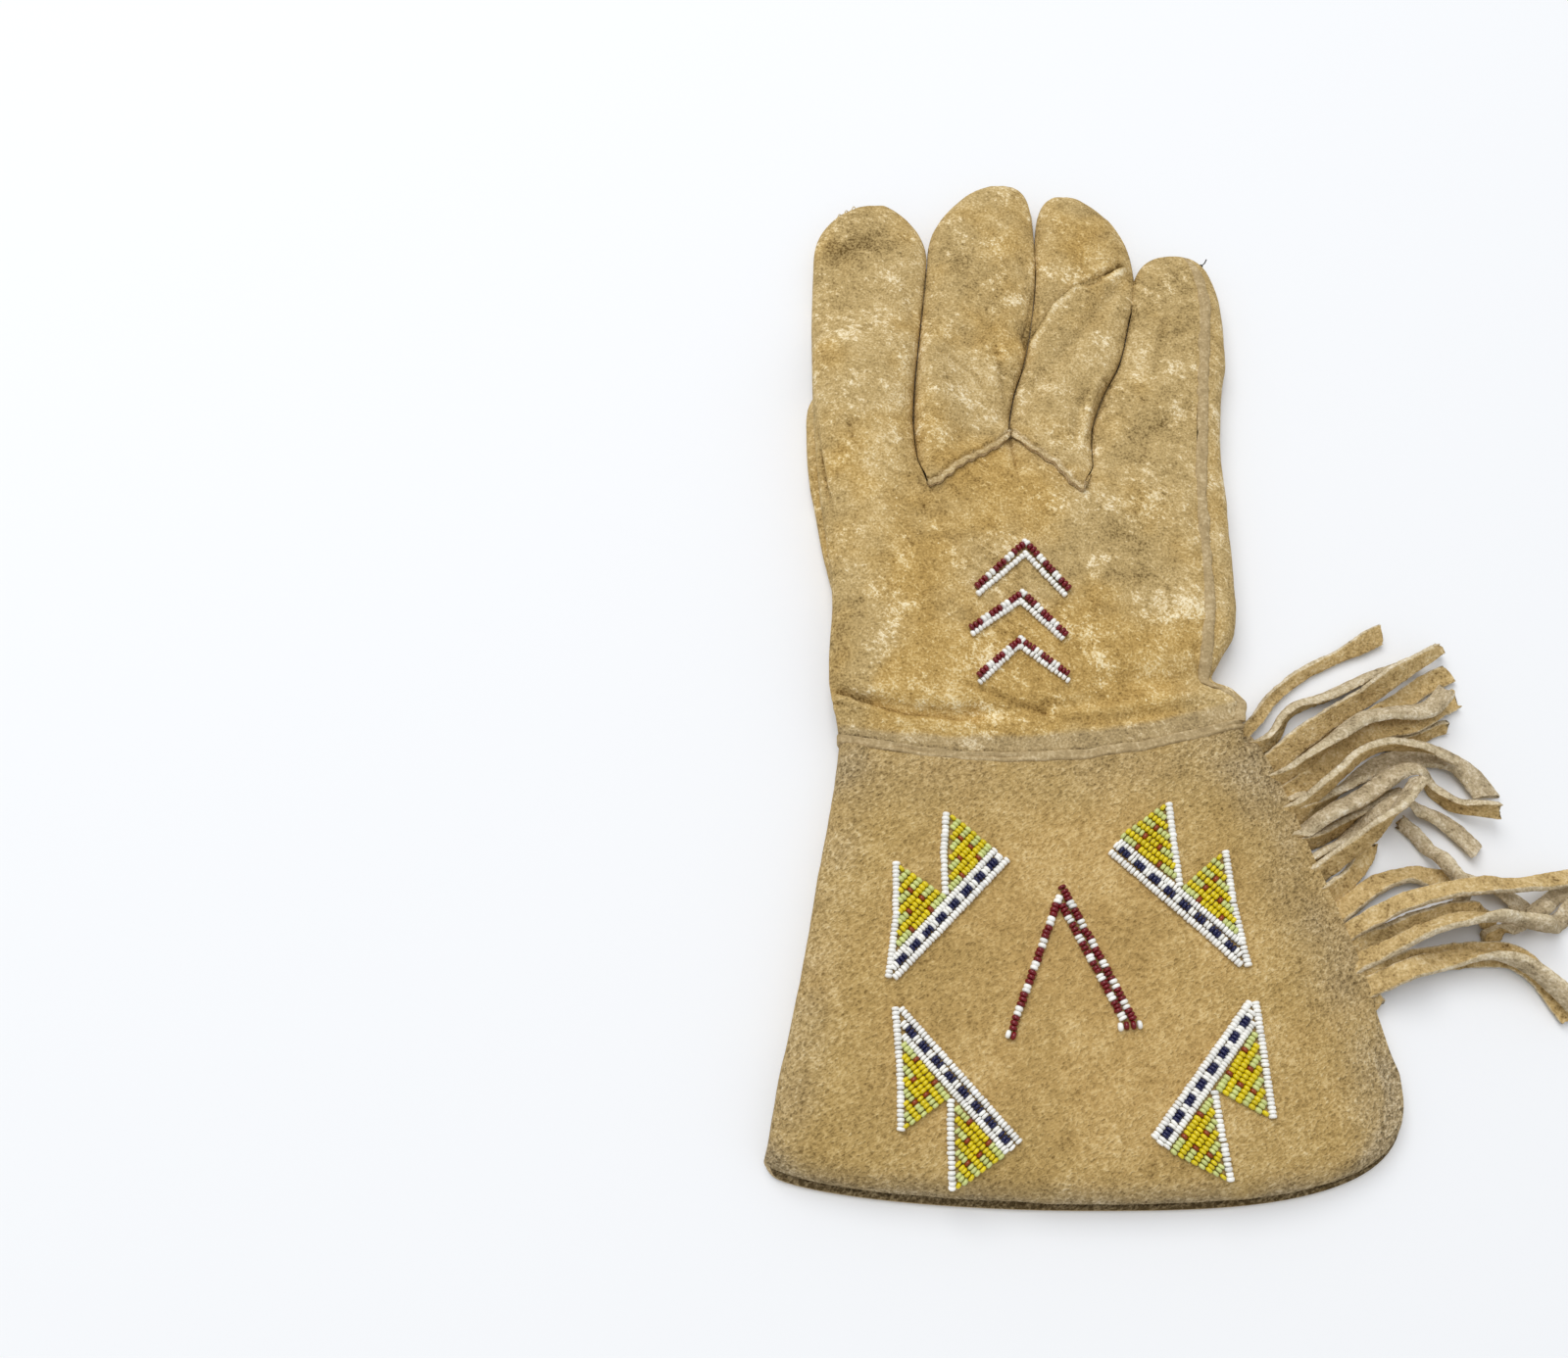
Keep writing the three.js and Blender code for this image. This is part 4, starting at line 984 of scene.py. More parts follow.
def wrinkles(x, y):
    """Small uneven swells of soft hide, in millimetres."""
    return 0.45 * noise(x, y, 16, 3) + 0.22 * noise(x, y, 6, 4) + 0.10 * noise(x * 1.4, y * 0.8, 2.6, 5, 2)


def hide_marks(points, dirt_and_painted_shade=0.0):
    """What the buckskin's material reads: worn, soiled and warm patches, the dirt and painted shade passed
    in, and the wrist's dull band.
    """
    x, y = points[:, 0], points[:, 1]
    from_welt = y - hand_y(0.0, x)
    band = mix(3.2, 6.2, smooth((x + 45) / 60))
    dull = smooth(1 - (from_welt - band + 1.2 * noise(x, y, 9, 17)) / 2.2)
    seam = 0.9 * bell(from_welt - 1.2, 0.7)
    return {"wear": spots(WORN, x, y), "grime": spots(SOILED, x, y) + dirt_and_painted_shade + seam, "warm": spots(WARM, x, y),
            "dull": dull}


def hand_shape(points, normals):
    """The back's creases and swells, with dirt and painted shade in its folds and painted shade along the
    fingers' seams.
    """
    x, y = points[:, 0], points[:, 1]
    lifted, dirt_and_painted_shade = relief(x, y)
    upright = smooth(normals[:, 2] * 1.6)
    at = (y - WRIST_Y) / HAND_LENGTH
    between = [np.abs(x - edge_x(name, at)) for name in SEAM_NAMES[1:4]]
    # Painted shade: a darker line along the seams between the fingers, where they meet.
    seam_shade = 0.3 * bell(np.min(between, axis=0), 1.1) * smooth((at - SEAM_START) / 0.06)
    return (wrinkles(x, y) + lifted) * upright, hide_marks(points, dirt_and_painted_shade * upright + seam_shade)


def cosine_shares(count):
    """Shares from 0 to 1 that lie closer together near both ends."""
    return (1 - np.cos(np.pi * np.arange(count + 1) / count)) / 2


# ---- The hand ----

CELLS = cosine_shares(44)
LOWER = np.concatenate([[0.9 / HAND_LENGTH], np.linspace(0.008, 0.10, 36),
                        np.linspace(0.10, SEAM_START, 75)[1:]])
ABOVE = CROTCH + 0.03
ROUND_ANGLES = 0.499 * np.pi * (1 - (1 - np.linspace(0, 1, 29)[1:]) ** 1.6)


def grid_of(x, y, z):
    """Three arrays of x, y and z as one grid of points."""
    return np.stack(np.broadcast_arrays(x, y, z), -1).astype(float)


def finger_rows(column, base, cells):
    """A finger's back from its base row of places to the crotch, along the finger and over its end."""
    start = FINGERS[column]["start"]
    rise = np.linspace(0, 1, 46)[1:]
    along = np.linspace(0, 1, 92)[1:]
    at = np.concatenate([mix(base[None, :], ABOVE, rise[:, None]),
                         np.broadcast_to(mix(ABOVE, start, along)[:, None], (len(along), len(cells)))])
    x = across_x(BACK, column, cells[None, :], at, True)
    body = grid_of(x, hand_y(at, x), top_height(column, x, at))
    last_x = x[-1:]
    height = top_height(column, last_x, at[-1:])
    ends = [grid_of(*rounded_end(column, last_x, at[-1:], angle, height)) for angle in ROUND_ANGLES]
    return at, np.concatenate([body, *ends])


def hand_back():
    """The back with the index and little fingers; under the let-in fingers it ends in a lowered tongue."""
    patches = []
    for column in range(4):
        at = arched(column, CELLS[None, :], LOWER[:, None])
        x = across_x(BACK, column, CELLS[None, :], at, False)
        grid = grid_of(x, hand_y(at, x), top_height(column, x, at))
        if column in (0, 3):
            _, finger = finger_rows(column, np.full(len(CELLS), SEAM_START), CELLS)
            grid = np.concatenate([grid, finger])
        else:
            under = at[-1:] + np.array([[0.006], [0.012]])
            x = across_x(BACK, column, CELLS[None, :], under, False)
            lowered = top_height(column, x, under) - np.array([[0.7], [1.3]])
            grid = np.concatenate([grid, grid_of(x, hand_y(under, x), lowered)])
        patches.append((grid, False))
    piece = leather_shell("hand_back_hide", patches, HAND_LEATHER, buckskin, cut_edge, hand_shape)
    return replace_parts(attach(piece, BODY), "hand_back")


LAP = 2.2
LAP_RISE = 1.8
LAP_CELLS = cosine_shares(64)


def let_in_finger(column, name):
    """The pointed back of a let-in finger, lapped over with a wavy cut edge and a pressed line inside it."""
    width = edge_x(SEAM_NAMES[column + 1], SEAM_START) - edge_x(SEAM_NAMES[column], SEAM_START)
    along_seam = LAP_CELLS * width
    wave = (0.42 * np.sin(2 * np.pi * along_seam / 4.1 + column)
            + 0.30 * noise(along_seam, 0 * along_seam, 3, column))
    corner = 1 - np.abs(2 * LAP_CELLS - 1) ** 9
    seam_at = arched(column, LAP_CELLS, SEAM_START)
    base = seam_at - (LAP + wave) * corner / HAND_LENGTH
    at, grid = finger_rows(column, base, LAP_CELLS)
    x = across_x(BACK, column, LAP_CELLS[None, :], base[None, :], True)
    first = grid_of(x, hand_y(base[None, :], x), top_height(column, x, base[None, :]))
    grid = np.concatenate([first, grid])
    from_edge = (np.concatenate([base[None, :], at]) - base[None, :]) * HAND_LENGTH
    pressed = 0.8 * bell(from_edge - 2.7, 0.65)
    grid[:len(from_edge), :, 2] += LAP_RISE * smooth(1 - (from_edge - 2) / 9) - pressed

    def shape(points, normals):
        moved, marks = hand_shape(points, normals)
        line = np.stack([x[0], hand_y(base, x[0])], 1)
        off = np.linalg.norm(points[:, None, :2] - line[None], axis=2).min(axis=1)
        marks["dull"] = clamp(marks["dull"] + 0.8 * smooth((2.7 - off) / 0.8))
        # A painted dark line of shade along the pressed groove, and a lighter band on the lip that is part
        # wear and part painted highlight.
        marks["grime"] = (marks["grime"] * smooth((off - 0.5) / 2) + 0.45 * bell(off - 2.8, 0.5)
                          - 0.5 * bell(off - 1.2, 0.8))
        return moved, marks

    piece = leather_shell(name + "_hide", [(grid, False)], HAND_LEATHER, buckskin, cut_edge, shape)
    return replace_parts(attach(piece, BODY), name)


def in_thumb_hole(middles):
    """Which faces lie in the oval hole between the palm and the thumb, by their middles."""
    cx = read(THUMB_SECTIONS, "middle", 0.26) * HAND_WIDTH
    cy = WRIST_Y + THUMB_HEEL + 0.27 * THUMB_LENGTH
    off = (middles[:, :2] - (cx, cy)) / (THUMB_HOLE[0] / 2, THUMB_HOLE[1] / 2)
    return off[:, 0] ** 2 + off[:, 1] ** 2 < 1


def palm():
    """The palm and the fingers' fronts, wrapped round the little-finger side up to the welt."""
    cells = cosine_shares(22)
    angles = np.linspace(-0.5, 0.5, 19)[1:] * np.pi
    low = np.concatenate([LOWER[::2], [mix(SEAM_START, ABOVE, 0.5), CROTCH]])
    patches = []
    for column in range(4):
        start = FINGERS[column]["start"]
        high = mix(ABOVE, start, np.linspace(0, 1, 42))
        rows = []
        for at, inset in [(at, False) for at in low] + [(at, True) for at in high]:
            at = np.full(len(cells), at)
            x = across_x(PALM, column, cells, at, inset)
            row = grid_of(x, hand_y(at, x), bottom_height(column, x, at))
            if column == 3:
                wrap_at = np.full(len(angles), at[0])
                wx, wz = wrap_point(wrap_at, angles)
                row = np.concatenate([row, grid_of(wx, hand_y(wrap_at, wx), wz)])
            rows.append(row)
        full = rows[-1]
        for angle in ROUND_ANGLES[1::2]:
            at = np.full(len(full), start)
            rows.append(grid_of(*rounded_end(column, full[:, 0], at, angle, full[:, 2])))
        patches.append((np.stack(rows), True))

    def keep(middles):
        return ~(in_thumb_hole(middles) & (middles[:, 2] < HAND_THICKNESS))

    def shape(points, normals):
        side = smooth(normals[:, 0] * 2)
        return wrinkles(points[:, 0] + 40, points[:, 1]) * (0.25 + 0.75 * side) * smooth(
            (points[:, 2] - 0.8) / 3), hide_marks(points)

    piece = leather_shell("palm_hide", patches, HAND_LEATHER, buckskin, cut_edge, shape, keep)
    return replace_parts(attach(piece, BODY), "palm")


def thumb():
    """The thumb's tube: superellipse sections along its middle line, closed at both rounded ends."""
    rounding = THUMB_WIDTH * 0.42
    turn = np.linspace(1.5, 0.1, 12)
    straight = np.linspace(rounding, THUMB_LENGTH - rounding, 40)
    places = np.concatenate([rounding * (1 - np.sin(turn)), straight,
                             THUMB_LENGTH - rounding * (1 - np.sin(turn[::-1]))])
    keep_share = np.concatenate([np.cos(turn), np.ones(len(straight)), np.cos(turn[::-1])]) ** 0.8
    at = places / THUMB_LENGTH
    middle = (read(THUMB_SECTIONS, "middle", at) * HAND_WIDTH)[:, None]
    half = (read(THUMB_SECTIONS, "half", at) * THUMB_WIDTH * keep_share)[:, None]
    high = (THUMB_THICKNESS / 2 * keep_share ** 0.6)[:, None]
    angle = np.linspace(0, 2 * np.pi, 65)[None, :]
    x = middle - half * bent(np.cos(angle), 0.6)
    z = THUMB_THICKNESS / 2 + high * bent(np.sin(angle), 0.6)
    grid = grid_of(x, (WRIST_Y + THUMB_HEEL + places)[:, None], z)

    def keep(middles):
        return ~(in_thumb_hole(middles) & (middles[:, 2] > THUMB_THICKNESS / 2))

    def shape(points, normals):
        return 0.5 * wrinkles(points[:, 0], points[:, 1] + 30) * smooth(points[:, 2] / 4), hide_marks(points)

    piece = leather_shell("thumb_hide", [(grid, False)], THUMB_LEATHER, buckskin, cut_edge, shape, keep)
    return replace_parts(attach(piece, BODY), "thumb")


def side_welt():
    """A rounded narrow strip that follows the back's height along the little-finger side."""
    start = FINGERS[3]["start"]
    at = np.concatenate([LOWER, mix(SEAM_START, start, np.linspace(0, 1, 110)[1:])])
    run = at * HAND_LENGTH
    middle = edge_x("welt", at) + 0.7 * noise(run, 0 * at, 9, 21) + 0.3 * noise(run, 0 * at, 3.2, 23)
    height = top_height(3, middle, at)
    path = np.stack([middle, hand_y(at, middle), height], 1)
    angles = ROUND_ANGLES[:-3]
    ends = [np.stack(rounded_end(3, middle[-1:], at[-1:], angle, height[-1:]), 1) for angle in angles]
    path = np.concatenate([path, *ends])
    narrowed = np.concatenate([np.ones(len(at)), np.cos(angles) ** 0.7])
    turn = circle(12)
    half = SIDE_WELT / 2 + 0.55
    outline = np.stack([-half * bent(np.cos(turn), 0.6), -0.2 + 0.95 * bent(np.sin(turn), 0.8)], 1)
    lumpy = (1 + 0.22 * noise(path[:, 1], path[:, 0], 3.5, 8)) * narrowed
    rings = profile_along(path, *across_and_up(path), outline[None] * lumpy[:, None, None])
    points, faces = closed_rod(rings[:, ::-1])
    piece = add_mesh("side_welt_strip", points, faces, welt_leather)
    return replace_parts(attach(piece, BODY), "side_welt")


def wrist_loop():
    """The hand's outline at the wrist: over the back, round the little-finger side and back below."""
    cells = cosine_shares(30)
    loop = []
    for column in range(4):
        x = across_x(BACK, column, cells if column == 0 else cells[1:], 0.0, False)
        loop.append(np.stack([x, top_height(column, x, np.zeros_like(x))], 1))
    angles = np.linspace(0.5, -0.5, 15) * np.pi
    loop.append(np.stack(wrap_point(np.zeros_like(angles), angles), 1))
    for column in (3, 2, 1, 0):
        x = across_x(PALM, column, cells[::-1][1:], 0.0, False)
        loop.append(np.stack([x, bottom_height(column, x, np.zeros_like(x))], 1))
    return np.concatenate(loop)


def wrist_welt():
    """A soft strip with a broken groove, all round the seam between the hand and the cuff."""
    loop = wrist_loop()
    x, z = loop[:, 0], loop[:, 1]
    middle = HAND_THICKNESS * 0.31
    reach = np.abs(x) / (HAND_WIDTH / 2)
    turn = circle(24)
    along = -0.56 * WRIST_WELT * bent(np.cos(turn), 0.6)
    out = -0.3 + bent(np.sin(turn), 0.8)
    groove = bell(along + 0.2, 0.3) * (np.sin(turn) > 0)
    lumpy = 1 + 0.25 * noise(x, z, 3.5, 9)
    cut = clamp(0.55 + 0.9 * noise(x, z, 14, 24), 0.1, 1.3)
    grow = out[None, :] * lumpy[:, None] - cut[:, None] * groove[None, :]
    px = x[:, None] + np.sign(x)[:, None] * grow * smooth((reach - 0.8) / 0.1)[:, None]
    pz = z[:, None] + np.where(z > middle, 1, -1)[:, None] * grow * smooth(np.abs(z - middle) / 3)[:, None]
    py = hand_y(0.0, px) + along[None, :] + 0.55 * noise(x, 0 * x, 5, 22, 2)[:, None]
    rings = np.stack([px, py, np.maximum(pz, 0)], -1)
    count, around = rings.shape[:2]
    number = np.arange(count * around).reshape(count, around)
    number = np.concatenate([number, number[:1]])
    number = np.concatenate([number, number[:, :1]], axis=1)
    quads = np.stack([number[:-1, :-1], number[1:, :-1], number[1:, 1:], number[:-1, 1:]], -1).reshape(-1, 4)
    piece = add_mesh("wrist_welt_strip", rings.reshape(-1, 3), quads, welt_leather)
    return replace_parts(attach(piece, BODY), "wrist_welt")


# ---- The cuff ----

# The mouth's edge is rolled down over ROLL to RIM_HEIGHT, and the lower sheet reaches LOWER_SHEET past the
# upper
ROLL = 5.0
RIM_HEIGHT = 4.4
LOWER_SHEET = 1.6
CUFF_WORN = [(1075, 880, 9, 0.5), (970, 1000, 9, 0.4), (1350, 1150, 10, 0.5), (1240, 745, 7, 0.6)]
CUFF_WARM = [(1010, 950, 24, 0.9), (1120, 880, 24, 0.8), (960, 1080, 20, 0.7), (1180, 1080, 24, 0.7),
             (1110, 1000, 22, 0.8), (1230, 930, 20, 0.5), (1080, 1130, 22, 0.6)]


def cuff():
    """The folded suede sheet: flat below, turned over at the fold side, and rolled down along its mouth."""
    shares = cosine_shares(140)
    below = cosine_shares(60)[::-1]
    rows = 1 - (1 - np.linspace(0, 1, 120)) ** 1.25
    angles = np.linspace(-0.46, 0.46, 17) * np.pi
    loop = wrist_loop()
    loop = loop[:np.argmax(loop[:, 0]) + 1]
    grids = []
    for at in rows:
        fold, seam = cuff_edge("fold", at), cuff_edge("seam", at)
        flat = fold + CUFF_FOLD_REACH
        under = mix(flat, seam, below)
        middle = read(CUFF_SECTIONS, "crown", at) * CUFF_THICKNESS / 2
        turned_x = flat - CUFF_FOLD_REACH * np.cos(angles) ** 0.8
        turned_z = middle + middle * bent(np.sin(angles), 0.8)
        over = mix(flat, seam, shares)
        x = np.concatenate([under, turned_x, over])
        meets = mix(np.interp(over, loop[:, 0], loop[:, 1]), cuff_top(over, at), smooth(at / 0.07))
        z = np.concatenate([0 * under, turned_z, meets])
        across = (x - fold) / (seam - fold)
        y = cuff_y(at, x, across)
        mouth = WRIST_Y - CUFF_LENGTH + mouth_drop(across)
        side_gap = mix(1, clamp((seam - x) / ROLL), smooth((at - FRINGE_END + 0.02) / 0.05))
        near = np.minimum(clamp((y - mouth) / ROLL), side_gap)
        down = np.sqrt(np.maximum(1 - (1 - near) ** 2, 0))
        z = np.where(z > RIM_HEIGHT, np.minimum(z, mix(RIM_HEIGHT, z, down)), z)
        y = y + LOWER_SHEET * smooth((at - 0.93) / 0.07) * smooth((z - 0.4) / 2.5)
        grids.append(np.stack([x, y, z], -1))
    grid = np.stack(grids)

    def shape(points, normals):
        x, y = points[:, 0], points[:, 1]
        top = smooth((points[:, 2] - 2.5) / 3)
        moved = (0.5 * noise(x, y, 26, 31) + 0.16 * noise(x, y, 7, 32)) * top
        at = clamp((WRIST_Y - y) / CUFF_LENGTH)
        to_mouth = y - (WRIST_Y - CUFF_LENGTH)
        # The low turned-down rim towards the mouth is greyed, partly as grime and partly as painted shade.
        rim = smooth(1 - (points[:, 2] - RIM_HEIGHT) / 5) * smooth(0.02 * (WRIST_Y - y) - 1.2)
        to_fold = x - cuff_edge("fold", at)
        to_seam = cuff_edge("seam", at) - x
        mouth = mouth_drop(clamp((x - cuff_edge("fold", at)) / (to_fold + to_seam)))
        handled = (0.50 * smooth(1 - to_fold / 15) + 0.60 * smooth(1 - to_seam / 22)
                   + 0.75 * smooth(1 - (to_mouth - mouth) / 9) + 0.40 * smooth(1 - (WRIST_Y + 3 - y) / 30))
        grime = clamp(0.55 * rim + handled * (0.75 + 0.6 * noise(x, y, 12, 33)))
        # Painted shade: the lower sheet's edge that shows past the rolled upper edge is marked to be
        # darkened, where it lies in the upper sheet's shadow.
        under = smooth(1 - (points[:, 2] - 0.6) / 1.8) * smooth(1 - (to_mouth - mouth) / 6)
        return moved, {"wear": spots(CUFF_WORN, x, y), "grime": grime, "warm": spots(CUFF_WARM, x, y),
                       "under": under}

    piece = leather_shell("cuff_hide", [(grid, True)], CUFF_LEATHER, suede, cut_edge, shape)
    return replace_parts(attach(piece, BODY), "cuff")


# ---- The fringe ----

# The strips from the lowest to the topmost. Each has its width in millimetres, its tip's width as a share of
# that, how far it is rolled at its root, middle and tip in degrees (0 with its face up, 90 on its edge with
# the upper cut showing, 180 with the flesh side up), and its route as pixels of the photograph
STRIPS = [
    (6.0, 0.95, (0, 10, 20), [(1388, 1020), (1401, 1019), (1409, 1026)]),
    (3.7, 1.6, (30, 40, 20), [(1276, 739), (1286, 728), (1295, 712), (1312, 697), (1336, 681), (1362, 669),
     (1387, 657), (1402, 648), (1411, 644)]),
    (6.0, 0.95, (10, 0, 15), [(1293, 795), (1333, 770), (1375, 745), (1417, 722), (1438, 709), (1459, 694),
     (1480, 684)]),
    (4.6, 0.95, (60, 90, 60), [(1312, 820), (1333, 806), (1358, 778), (1379, 762), (1405, 755), (1430, 753),
     (1451, 747), (1466, 740), (1478, 738)]),
    (6.0, 0.95, (20, 10, 5), [(1308, 812), (1329, 799), (1350, 780), (1367, 766), (1388, 751), (1413, 745),
     (1438, 743), (1459, 730), (1476, 717), (1489, 709)]),
    (6.6, 1.3, (20, 150, 165), [(1318, 837), (1358, 812), (1388, 791), (1417, 774), (1451, 767), (1478, 769),
     (1499, 782), (1512, 797), (1521, 810)]),
    (5.4, 0.95, (50, 60, 110), [(1322, 860), (1350, 851), (1367, 841), (1382, 831), (1399, 820), (1419, 809),
     (1432, 805)]),
    (5.2, 1.15, (55, 130, 150), [(1331, 881), (1357, 866), (1377, 853), (1392, 840), (1407, 828), (1419, 820),
     (1432, 819), (1445, 822), (1459, 827), (1473, 832), (1486, 841), (1499, 853), (1511, 866)]),
    (6.0, 0.95, (45, 40, 30), [(1343, 917), (1361, 907), (1377, 896), (1388, 882), (1395, 868), (1398, 858)]),
    (6.6, 0.95, (55, 50, 120), [(1336, 896), (1363, 878), (1384, 863), (1401, 848), (1413, 836), (1422, 824),
     (1434, 807)]),
    (5.0, 0.95, (20, 110, 100), [(1280, 762), (1293, 755), (1303, 746), (1308, 733), (1315, 722), (1331, 715),
     (1354, 709), (1373, 699), (1400, 687), (1426, 678), (1447, 671)]),
    (6.6, 0.6, (18, 30, 55), [(1286, 786), (1302, 776), (1323, 757), (1339, 745), (1358, 731), (1388, 711),
     (1417, 694), (1445, 677), (1459, 669), (1470, 659)]),
    (5.8, 0.95, (30, 120, 165), [(1298, 800), (1316, 789), (1339, 772), (1363, 753), (1384, 738), (1400, 736),
     (1417, 734), (1438, 734), (1453, 730), (1464, 719), (1470, 710)]),
    (5.8, 0.95, (45, 75, 120), [(1313, 832), (1339, 814), (1360, 795), (1379, 778), (1400, 767), (1430, 763),
     (1455, 767), (1474, 775), (1481, 779)]),
    (5.6, 0.95, (120, 160, 60), [(1323, 853), (1337, 842), (1358, 831), (1382, 820), (1400, 808), (1417, 793),
     (1434, 785), (1449, 789), (1464, 802), (1480, 814), (1497, 824), (1527, 828)]),
    (6.0, 0.95, (-20, -35, 170), [(1353, 940), (1365, 933), (1377, 925), (1392, 912), (1409, 900),
     (1426, 894), (1445, 891), (1461, 893), (1491, 897), (1514, 901), (1537, 907), (1562, 927)]),
    (4.4, 0.95, (90, 100, 120), [(1465, 939), (1484, 927), (1491, 916), (1488, 906), (1478, 895), (1466, 877),
     (1455, 860), (1443, 847), (1431, 837)]),
    (5.4, 0.95, (30, 35, 20), [(1370, 972), (1386, 963), (1407, 954), (1426, 946), (1449, 939), (1472, 933),
     (1491, 932), (1510, 933), (1530, 939)]),
    (7.2, 0.8, (15, 15, 20), [(1380, 1010), (1403, 999), (1422, 988), (1445, 978), (1472, 975), (1501, 972),
     (1530, 971), (1549, 973), (1566, 984), (1581, 1000), (1598, 1025), (1608, 1038)]),
    (5.6, 0.95, (-10, -30, -140), [(1385, 1012), (1407, 1004), (1430, 994), (1453, 986), (1476, 981),
     (1501, 977), (1526, 977), (1549, 985), (1570, 999), (1588, 1014), (1602, 1027)]),
    (5.0, 0.95, (170, 160, 150), [(1537, 946), (1554, 939), (1572, 927), (1589, 914), (1604, 903)]),
    (5.4, 0.95, (-25, -60, -170), [(1375, 989), (1392, 981), (1411, 973), (1434, 962), (1453, 954),
     (1472, 948), (1501, 945), (1530, 944), (1553, 945), (1574, 952), (1591, 946), (1601, 933), (1608, 921)]),
    (5.2, 0.95, (-15, -30, -25), [(1363, 959), (1380, 950), (1399, 939), (1419, 930), (1442, 923),
     (1465, 918), (1491, 914), (1520, 911), (1549, 908), (1577, 902), (1598, 898), (1612, 895)]),
]
STRIP_STEPS = 72
STRIP_TURN = circle(16)
ROUTE_HEIGHT = 5.0


def strip_outline(width, thickness, curl):
    """A flat strip's section with softened corners, its edges curled up by curl, as two numbers a point."""
    a = width / 2 * bent(np.cos(STRIP_TURN), 0.45)
    b = thickness / 2 * bent(np.sin(STRIP_TURN), 0.5)
    return np.stack([a, b + curl * (2 * a / width) ** 2], 1)


def eased_route(pixels, steps, root):
    """Evenly spaced places along a route through pixels, led back to its root, and their length."""
    points = from_photo(pixels, ROUTE_HEIGHT)[:, :2]
    back = points[0] - points[1]
    points = np.concatenate([[points[0] + back / np.linalg.norm(back) * root], points])
    reach = lengths_along(points)
    return rounded(resampled(points, reach, np.linspace(0, reach[-1], steps)), 10), reach[-1]


def spread(values, reach):
    """Each value becomes the largest within reach places, then the row is smoothed."""
    padded = np.pad(values, reach, "edge")
    highest = np.max([padded[k:k + len(values)] for k in range(2 * reach + 1)], axis=0)
    weights = np.hanning(2 * reach + 3)[1:-1]
    return np.convolve(np.pad(highest, reach, "edge"), weights / weights.sum(), "valid")


def fringe_strip(strip, number, laid):
    """One strip, draped over those already laid: twisted, with curled edges and an uneven cut."""
    strip_width, tip_share, rolls, route = strip
    path, length = eased_route(route, STRIP_STEPS, FRINGE_HEAD_DEPTH)
    t = np.linspace(0, 1, STRIP_STEPS)
    run = t * length
    width = 1.08 * strip_width * mix(1, tip_share, smooth((t - 0.72) / 0.25)) * (
        1 + 0.12 * noise(run, 0 * t, 11, 80 + number) + 0.05 * noise(run, 0 * t, 2.2, 81))
    freed = mix(0.3, 1, smooth((run - FRINGE_HEAD_DEPTH + 3) / 7))
    roll = np.radians(np.interp(t, (0, 0.5, 1), rolls) + 16 * noise(run, 0 * t, 13, 60 + number)) * freed
    half = np.abs(width / 2 * np.sin(roll)) + np.abs(STRIP_THICKNESS / 2 * np.cos(roll))
    base = np.zeros(STRIP_STEPS)
    for other_path, other_width, other_top in laid:
        apart = np.linalg.norm(path[:, None] - other_path[None], axis=2)
        near = apart < 0.40 * (width[:, None] + other_width[None])
        base = np.maximum(base, np.where(near, other_top[None], 0).max(axis=1))
    base = spread(base, 4)
    rooted = smooth((run - FRINGE_HEAD_DEPTH - 1) / 14)
    z = mix(np.maximum(HEAD_HEIGHT, base * 0.6), base + half, rooted)
    laid.append((path, width * np.abs(np.cos(roll)) + STRIP_THICKNESS, z + half))
    forward = unit(np.gradient(path, axis=0))
    level = np.stack([-forward[:, 1], forward[:, 0], 0 * t], 1)
    upward = np.array([0, 0, 1.0])
    side = level * np.cos(roll)[:, None] + upward * np.sin(roll)[:, None]
    up = upward * np.cos(roll)[:, None] - level * np.sin(roll)[:, None]
    curl = 0.45 + 0.7 * noise(run, 0 * t, 18, 100 + number) + 0.4 * np.abs(np.sin(roll))
    thick = mix(STRIP_THICKNESS, 1.45 * STRIP_THICKNESS, np.abs(np.sin(roll)))
    outline = np.stack([strip_outline(*sizes) for sizes in zip(width, thick, curl)])
    rng = np.random.default_rng(number)
    fuzz = rng.normal(0, 0.07, outline.shape)
    ragged = rng.normal(0, 0.45, outline.shape[1]) * smooth((t - 0.97) / 0.03)[:, None]
    rings = profile_along(np.column_stack([path, z]), side, up, outline + fuzz)
    slant = 1.8 * math.sin(number * 2.1)
    tip = smooth((t - 0.92) / 0.08)[:, None, None]
    ahead = tip * slant * (outline[..., 0:1] / STRIP_WIDTH) + ragged[..., None]
    rings = rings + ahead * np.column_stack([forward, 0 * t])[:, None, :]
    rings[..., 2] = np.maximum(rings[..., 2], 0.05)
    points, faces = closed_rod(rings)
    flesh = np.tile(smooth(0.5 - 0.9 * np.sin(STRIP_TURN)), STRIP_STEPS)
    rim = np.tile(smooth((np.abs(np.cos(STRIP_TURN)) - 0.75) / 0.2), STRIP_STEPS)
    shade = np.repeat(smooth(1 - run / 22), len(STRIP_TURN))
    return points, faces, flesh, rim, shade


